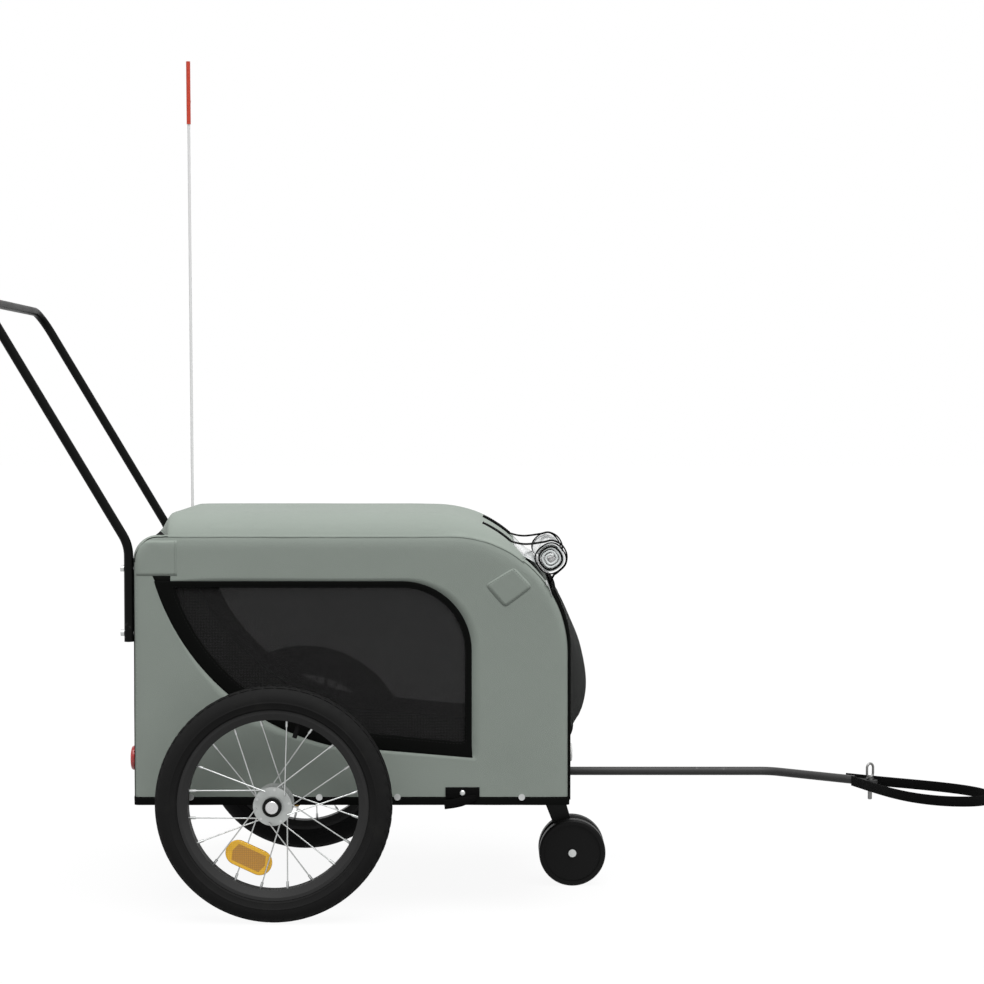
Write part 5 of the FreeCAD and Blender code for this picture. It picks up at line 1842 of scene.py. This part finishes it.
@dataclass
class RainCover:
    """The rolled-up clear rain cover, its bound edges and the two straps that hold it."""

    roof: Roof
    turns: float = 3.6
    turn_steps: int = 36
    roll_runs: int = 24
    first_turn: float = 0.9
    core: float = 6.0
    inset: float = 1.2
    squareness: float = 0.03
    square_turn: float = 0.6
    soft: tuple = (0.35, 40.0, 3.0)
    stretch: float = 1.05
    rings: tuple = ((0.71, 1.6), (0.95, 1.4))
    ring_lift: float = 1.2
    ring_points: int = 48
    ring_sides: int = 6
    swirl: float = 23.0
    swirl_thick: float = 1.9
    strap_width: float = 20.0
    strap_thick: float = 2.6
    strap_lift: float = 1.6
    strap_gap: float = 0.9
    strap_arc: Pair = (118.0, -62.0)
    strap_runs: tuple = (2, 5, 7)
    root_angle: float = 66.5
    leave_angle: float = 53.5
    hang: Pair = (-2.0, -5.0)
    tuck: Pair = (6.0, -3.0)
    strap_end: Pair = (466.5, 553.5)
    root_thick: float = 5.0
    root_wider: float = 2.0
    root_lift: float = 2.6
    root_past: float = 1.0
    root_runs: int = 8
    root_taper: tuple = (0.82, 0.18, 3.1)
    root_facing: tuple = (0.4, 0.0, 1.0)
    root_seams: Pair = (-7.0, 7.0)
    root_seam_ahead: float = 0.6
    flap_angles: Pair = (50.0, 44.0)
    flap_arc: Pair = (196.0, 236.0)
    flap_lift: float = 1.4
    flap_inset: Pair = (0.6, 4.0)
    flap_long: float = 90.0
    flap_runs: tuple = (4, 16)

    def __post_init__(self) -> None:
        """Take the roll's place from the frame."""
        low, high = span("rain_cover_roll")
        self.middle: Pair = ((low.x + high.x) / 2, (low.z + high.z) / 2)
        self.radius: float = (high.z - low.z) / 2
        self.half: float = high.y
        self.strap_y: float = span("roll_straps")[1].y - self.strap_width / 2

    def around(self, y: float, radius: float, turn: float) -> Vector:
        """A point round the roll's middle line."""
        x, z = self.middle
        return Vector((x + radius * math.cos(turn), y, z + radius * math.sin(turn)))

    def squared(self, turn: float) -> float:
        """The share of its radius that the roll has at a turn, as it is a little squared."""
        return 1 - self.squareness + self.squareness * math.cos(4 * turn + self.square_turn)

    def spiral(self, y: float) -> list[Vector]:
        """The film's line at one place along the roll, from the inside to the outside.

        Args:
            y: where along the roll.

        Returns:
            Its points.
        """
        line = []
        for share in steps(0.0, 1.0, int(self.turns * self.turn_steps)):
            turn = 2 * math.pi * self.turns * share + self.first_turn
            radius = blend(self.core, self.radius - self.inset, share) * self.squared(turn)
            radius += ruffle(radius * math.cos(turn), y, *self.soft)
            line.append(self.around(y, radius, turn))
        return line

    def roll(self) -> Piece:
        """The rolled film."""
        shape = Shape().skin([self.spiral(y) for y in steps(-self.half, self.half, self.roll_runs)])
        return shape.build("film_roll", [FILM], "film", ["rain_cover_roll"], thick=0.8)

    def loop(self, y: float, radius: float) -> list[Vector]:
        """A closed line round the roll."""
        turns = [2 * math.pi * i / self.ring_points for i in range(self.ring_points)]
        return [self.around(y, radius * self.squared(turn), turn) for turn in turns]

    def bindings(self) -> Piece:
        """The tape on the film's two rolled ends, and the film's own edge further in.

        Returns:
            The piece.
        """
        shape = Shape()
        for y in (-self.half, self.half):
            for share, thick in self.rings:
                ring = self.loop(y + math.copysign(self.ring_lift, y), self.radius * share)
                shape.sweep(ring, ring_section(thick, self.ring_sides), ASIDE, closed=True)
            inner = [p for p in self.spiral(y) if math.dist((p.x, p.z), self.middle) < self.swirl]
            shape.sweep(inner, ring_section(self.swirl_thick, self.ring_sides), tint=1)
        return shape.build("film_bindings", [BINDING, FILM_EDGE], "cloth_black")

    def on_roof(self, angle: float, lift: float) -> Vector:
        """A point on the roof's front bend.

        Args:
            angle: degrees round the bend.
            lift: how far it stands off the roof.

        Returns:
            The point, in the trailer's middle.
        """
        fx, fz = self.roof.front_middle
        facing = (math.cos(math.radians(angle)), math.sin(math.radians(angle)))
        radius = self.roof.front_bend
        place = (fx + radius * facing[0], fz + radius * facing[1])
        radius += lift - self.roof.taut(place, facing) - self.roof.hollowed(place[0], self.strap_y)
        return Vector((fx + radius * facing[0], 0.0, fz + radius * facing[1]))

    def strap_line(self) -> list[Vector]:
        """A strap's line from its root on the roof, sagging to the roll and over it.

        Returns:
            Its points, in the trailer's middle.
        """
        mx, mz = self.middle
        around = self.radius + self.strap_gap
        lying, turning, between = self.strap_runs
        angles = steps(self.root_angle, self.leave_angle, lying)
        on_roof = [self.on_roof(angle, self.strap_lift) for angle in angles]
        over = [Vector((x, 0.0, z)) for x, z in arc((mx, mz), around, *self.strap_arc, turning)]
        hang = (on_roof[-1] + over[0]) / 2 + Vector((self.hang[0], 0.0, self.hang[1]))
        tuck = Vector((mx + self.tuck[0], 0.0, mz - around + self.tuck[1]))
        end = Vector((self.strap_end[0], 0.0, self.strap_end[1]))
        return smooth_line([*on_roof, hang, *over, tuck, end], between)

    def straps(self) -> None:
        """Make the two straps with their doubled, sewn roots."""
        shape = Shape()
        line = self.strap_line()
        ends = (self.root_angle + self.root_past, self.leave_angle - self.root_past)
        root = [self.on_roof(angle, self.root_lift) for angle in steps(*ends, self.root_runs)]
        strap = strap_section(self.strap_width, self.strap_thick)
        pad = strap_section(self.strap_width + self.root_wider, self.root_thick)
        least, more, turn = self.root_taper
        for y in (-self.strap_y, self.strap_y):
            shape.sweep([p + ASIDE * y for p in line], strap, ASIDE)
            shape.sweep([p + ASIDE * y for p in root], pad, ASIDE,
                        grow=lambda t: least + more * math.sin(turn * t))
            for edge in self.root_seams:
                move = Vector((self.root_seam_ahead, y + edge, self.root_lift))
                shape.stitches([p + move for p in root], Vector(self.root_facing), SMALL_STITCH, tint=1)
        shape.build("roll_webbing", [STRAP, BLACK_THREAD], "webbing", ["roll_straps"])

    def flap(self) -> Piece:
        """The film between the roof and the roll, lying on the roof.

        Returns:
            The sheet.
        """
        under, aside = self.flap_inset
        along, across = self.flap_runs
        line = [self.on_roof(angle, self.flap_lift) for angle in steps(*self.flap_angles, along)]
        bend = arc(self.middle, self.radius - under, *self.flap_arc, along)
        line += [Vector((x, 0.0, z)) for x, z in bend]
        width = self.half - aside
        rows = [[p + ASIDE * y for y in steps(-width, width, across)] for p in line]
        return Shape().skin(rows).build("film_flap", [FILM], "film", thick=0.5)

    def build(self) -> None:
        """Make the cover's pieces."""
        film, bindings, flap = self.roll(), self.bindings(), self.flap()
        self.straps()
        long = 2 * math.pi * self.turns * (self.core + self.radius) / 2
        declare_sheet(film, (2 * self.half, long * self.stretch))
        declare_sheet(flap, (2 * self.half, self.flap_long))


@dataclass
class Pennant:
    """The safety flag's cloth, sewn round the pole, with a soft wave."""

    wave: float = 2.6
    wave_turns: tuple = (2.6, 1.4, 0.4)
    curl: float = 12.0
    runs: tuple = (24, 16)
    hem: float = 1.3
    hem_flat: float = 12.0
    hem_runs: int = 10
    hem_sides: int = 14
    tip: float = 1.2
    tip_short: float = 1.0
    start: float = 0.6
    seam: Pair = (0.8, 0.9)

    def build(self) -> None:
        """Make the pennant and dress its pole and holder."""
        low, high = span("pennant")
        pole_low, pole_high = span("flag_pole")
        thick = pole_high.y - pole_low.y
        pole_y = (pole_low.y + pole_high.y) / 2
        lean = (pole_high.x - pole_low.x - thick) / (pole_high.z - pole_low.z)
        top_x = pole_low.x + thick / 2
        radius = thick / 2 + self.hem
        fly, hoist = high.y - pole_y - self.tip_short, high.z - low.z
        along, up, first = self.wave_turns
        fly_runs, hoist_runs = self.runs
        rows = []
        for u in steps(0.0, 1.0, fly_runs):
            half = hoist / 2 * (1 - u) + self.tip * u
            y = pole_y + blend(radius * self.start, fly, u)
            row = []
            for v in steps(-1.0, 1.0, hoist_runs):
                z = (high.z + low.z) / 2 + v * half
                waved = self.wave * u * math.sin(along * u + up * v + first) - self.curl * u
                row.append(Vector((top_x + lean * (high.z - z) + waved, y, z)))
            rows.append(row)
        shape = Shape().skin(rows)
        flag = shape.build("flag_pennant", [FLAG_CLOTH], "flag_orange", ["pennant"], "flag", thick=0.7)
        heights = steps(low.z, high.z, self.hem_runs)
        tube = [Vector((top_x + lean * (high.z - z), pole_y, z)) for z in heights]
        sleeve = Shape().sweep(tube, ring_section(radius, self.hem_sides))
        sewn = Vector((self.seam[0], radius * self.seam[1], 0.0))
        sleeve.stitches([p + sewn for p in tube], AHEAD, SMALL_STITCH, tint=1)
        sleeve = sleeve.build("flag_hem", [FLAG_CLOTH, GREY_THREAD], "flag_orange", body="flag")
        declare_sheet(flag, (hoist, fly + self.hem_flat))
        dress(POLE, "flag_pole")
        dress(BLACK_PLASTIC, "flag_sleeve")


@dataclass
class TowBar:
    """The tow bar with its hitch pin and the webbing loop that is its second hold on the bicycle."""

    width: float = 18.0
    thick: float = 2.5
    height: float = 171.0
    length: float = 0.6936
    resolution: int = 10
    sewn: tuple = (3, 9)
    sewn_rows: tuple = (-6.5, -2.2, 2.2, 6.5)
    route: tuple = ((740.2, 121.1), (772.0, 98.5), (810.5, 73.0), (853.5, 47.0), (897.5, 18.0),
                    (937.5, -17.0), (963.5, -59.0), (964.5, -104.0), (934.5, -133.0), (892.5, -137.0),
                    (852.5, -121.0), (819.5, -89.0), (794.5, -46.0), (775.5, 0.0), (759.5, 45.0),
                    (745.2, 86.8))

    def line(self) -> list[Vector]:
        """The strap's smooth line, read from a spline on the route's points.

        Returns:
            Its points, in millimetres from the axle.
        """
        curve = bpy.data.curves.new("strap_route", "CURVE")
        curve.dimensions = "3D"
        curve.resolution_u = self.resolution
        spline = curve.splines.new("NURBS")
        spline.points.add(len(self.route) - 1)
        for point, (x, y) in zip(spline.points, self.route):
            point.co = (x * MM, y * MM, self.height * MM, 1.0)
        spline.order_u = 3
        spline.use_endpoint_u = True
        carrier = bpy.data.objects.new("strap_route", curve)
        mesh = bpy.data.meshes.new_from_object(carrier)
        points = [Vector(((v.co.x - AXLE_X) / MM, v.co.y / MM, v.co.z / MM)) for v in mesh.vertices]
        bpy.data.objects.remove(carrier)
        bpy.data.meshes.remove(mesh)
        return points

    def stitching(self, line: list[Vector]) -> Piece:
        """The rows of thread on both faces of the strap's two sewn ends.

        Args:
            line: the strap's line.

        Returns:
            The piece.
        """
        start, stop = self.sewn
        shape = Shape()
        for end in (line[start:stop], line[-stop:-start]):
            along = (end[-1] - end[0]).normalized()
            for z in self.sewn_rows:
                for turn in (-1, 1):
                    out = Vector((along.y, -along.x, 0.0)) * turn
                    row = [p + out * (self.thick / 2) + UPWARD * z for p in end]
                    shape.stitches(row, out, CLOSE_STITCH)
        return shape.build("safety_stitches", [BLACK_THREAD], "webbing", body="tow_arm")

    def build(self) -> None:
        """Make the strap, which stands on edge, and dress the bar."""
        line = self.line()
        shape = Shape().sweep(line, strap_section(self.width, self.thick), UPWARD)
        piece = shape.build("safety_webbing", [STRAP_ON_EDGE], "webbing", ["safety_strap"], "tow_arm")
        sewn = self.stitching(line)
        dress(TOW_PAINT, "tow_bar")
        dress(FRAME_PAINT, "tow_bracket")
        dress(ZINC, "pivot_bolt")
        dress(PIN_STEEL, "hitch_pin")


@dataclass
class StowStrap:
    """The webbing keeper on the right rail: a sewn plate with a screw and a loose end."""

    plate_x: Pair = (286.0, 344.0)
    plate_z: Pair = (197.0, 216.0)
    plate_y: float = -251.4
    plate_thick: float = 2.2
    plate_wave: Pair = (0.3, 0.8)
    plate_runs: int = 12
    seam_y: float = -252.8
    seam_inset: float = 2.5
    tail: tuple = ((338.0, -253.6, 199.5), (322.0, -254.6, 194.0), (303.0, -256.2, 189.5),
                   (284.0, -257.6, 187.0))
    tail_width: float = 15.5
    tail_thick: float = 1.6
    tail_runs: int = 6
    tail_taper: tuple = (0.62, 0.38, 2.0)
    head_r: float = 4.6
    head_y: float = -252.0
    head_sides: int = 18
    head: tuple = ((0.0, 1.0), (1.6, 1.0), (2.6, 0.8), (3.2, 0.35))

    def build(self) -> None:
        """Make the keeper."""
        low, high = self.plate_z
        mx, mz = sum(self.plate_x) / 2, sum(self.plate_z) / 2
        height, turn = self.plate_wave
        line = [Vector((x, self.plate_y - height * math.sin(i * turn), mz))
                for i, x in enumerate(steps(*self.plate_x, self.plate_runs))]
        shape = Shape().sweep(line, strap_section(high - low, self.plate_thick), UPWARD)
        tail = smooth_line([Vector(place) for place in self.tail], self.tail_runs)
        least, more, rise = self.tail_taper
        shape.sweep(tail, strap_section(self.tail_width, self.tail_thick), UPWARD,
                    grow=lambda t: least + more * min(1.0, t * rise))
        for z in (low + self.seam_inset, high - self.seam_inset):
            shape.stitches([Vector((p.x, self.seam_y, z)) for p in line], -ASIDE, PATCH_STITCH, tint=1)
        head = [Vector((mx, self.head_y - away, mz)) for away, _ in self.head]
        shape.sweep(head, ring_section(self.head_r, self.head_sides), AHEAD, tint=2,
                    grow=lambda t: self.head[round(t * (len(head) - 1))][1])
        shape.build("stow_webbing", [STRAP_ON_EDGE, BLACK_THREAD, ZINC], "webbing", ["stow_strap"])


@dataclass
class Chassis:
    """The painted frame, handle, caster and small fittings, which keep their CAD shapes."""

    painted: tuple = ("front_cross_tube", "rear_cross_tube", "axle_cross_tube", "roof_bows", "door_bar",
                      "caster_fork")
    plated: tuple = ("handle_bolts", "base_screws", "caster_socket", "caster_bolt")

    def build(self) -> None:
        """Dress the CAD nodes."""
        for side in Side:
            dress(FRAME_PAINT, "base_rail_" + side.word, "side_hoop_" + side.word)
            dress(BLACK_PLASTIC, "caster_wheel_" + side.word)
        dress(FRAME_PAINT, *self.painted)
        dress(HANDLE_PAINT, "push_handle")
        dress(FLOOR_BOARD, "floor_board")
        dress(ZINC, *self.plated)
        dress(CLEAR_LENS, "front_reflectors")
        dress(RED_LENS, "rear_reflectors")


# The studio, and the order in which all is built


@dataclass
class Studio:
    """The pale floor, the soft light and the camera."""

    eye: tuple = (365.3, -4047.0, 858.6)
    tilt: float = 87.9
    lens: float = 81.95
    sensor: float = 36.0
    far: float = 200.0
    sky: float = 0.65
    ground: float = 0.24
    pale: float = 0.8
    sun: float = 3.35
    sun_height: float = 70.0
    sun_aside: float = 6.0
    sun_spread: float = 50.0
    floor_half: float = 30.0
    shadow_share: float = 0.07

    def camera(self) -> None:
        """Set the camera at the photograph's angle."""
        data = bpy.data.cameras.new("camera")
        data.lens = self.lens
        data.sensor_width = self.sensor
        data.clip_end = self.far
        camera = in_scene("camera", data)
        camera.location = to_frame(Vector(self.eye))
        camera.rotation_euler = (math.radians(self.tilt), 0.0, 0.0)
        bpy.context.scene.camera = camera

    def sky_light(self) -> None:
        """Set a white surround that lights the trailer softly."""
        world = bpy.data.worlds.new("studio")
        bpy.context.scene.world = world
        world.use_nodes = True
        nodes = Nodes(world.node_tree)
        colours = (3 * (grey,) for grey in (self.sky, 1.0))
        light, white = (nodes.node("ShaderNodeBackground", inputs=[colour]) for colour in colours)
        nodes.show("ShaderNodeOutputWorld", light, white)

    def sun_light(self) -> None:
        """Set a wide soft light from above and in front."""
        data = bpy.data.lights.new("overhead", "SUN")
        data.energy = self.sun
        data.angle = math.radians(self.sun_spread)
        turns = (90.0 - self.sun_height, self.sun_aside, 0.0)
        in_scene("overhead", data).rotation_euler = [math.radians(turn) for turn in turns]

    def floor(self) -> None:
        """Lay a white floor that keeps the trailer's shadow."""
        half = self.floor_half
        corners = [(-half, -half, 0), (half, -half, 0), (half, half, 0), (-half, half, 0)]
        mesh = bpy.data.meshes.new("floor")
        mesh.from_pydata(corners, [], [(0, 1, 2, 3)])
        material = bpy.data.materials.new("white_floor")
        material.use_nodes = True
        nodes = Nodes(material.node_tree)
        colours = (3 * (grey,) for grey in (self.ground, self.pale))
        dull, pale = (nodes.node("ShaderNodeBsdfDiffuse", inputs=[colour]) for colour in colours)
        white = nodes.node("ShaderNodeEmission")
        shown = nodes.node("ShaderNodeMixShader", inputs=[self.shadow_share, white, pale])
        nodes.show("ShaderNodeOutputMaterial", dull, shown)
        mesh.materials.append(material)
        in_scene("floor", mesh)

    def build(self) -> None:
        """Set the stage."""
        bpy.context.scene.view_settings.view_transform = "Standard"
        self.camera()
        self.sky_light()
        self.sun_light()
        self.floor()


FRONT_SWELL = ((0.0, 0.28), (0.04, 0.56), (0.1, 0.82), (0.22, 0.99), (0.36, 0.96), (0.54, 0.72), (0.73, 0.33),
               (0.88, 0.16), (1.0, 0.08))
REAR_SWELL = ((0.0, 0.24), (0.12, 0.72), (0.3, 1.0), (0.58, 0.92), (0.85, 0.52), (1.0, 0.24))
FRONT_UNDER_ROOF = 43.0
REAR_PAST_BEND = 3.0


def main() -> None:
    """Build the trailer's pieces in order."""
    logging.basicConfig(level=logging.INFO, format="%(message)s")
    Studio().build()
    TowBar().build()
    profile = SideProfile.from_frame()
    for side in Side:
        Wheel(side).build()
        SidePanel(side, profile).build()
    roof = Roof(profile)
    roof.build()
    DoorPanel(profile, 1, "front_panel", "front_door", "door_front", FRONT_NET, half=196.0, low=302.0,
              high=545.0, bulge=37.0, swell=FRONT_SWELL, cloth_top=profile.top - FRONT_UNDER_ROOF).build()
    DoorPanel(profile, -1, "rear_panel", "rear_door", "door_rear", REAR_NET, half=180.0, low=302.0,
              high=560.0, bulge=25.0, swell=REAR_SWELL,
              cloth_top=profile.rear_middle[1] + REAR_PAST_BEND).build()
    CabinTrim(profile).build()
    RainCover(roof).build()
    Pennant().build()
    StowStrap().build()
    Chassis().build()


if __name__ == "__main__":
    main()
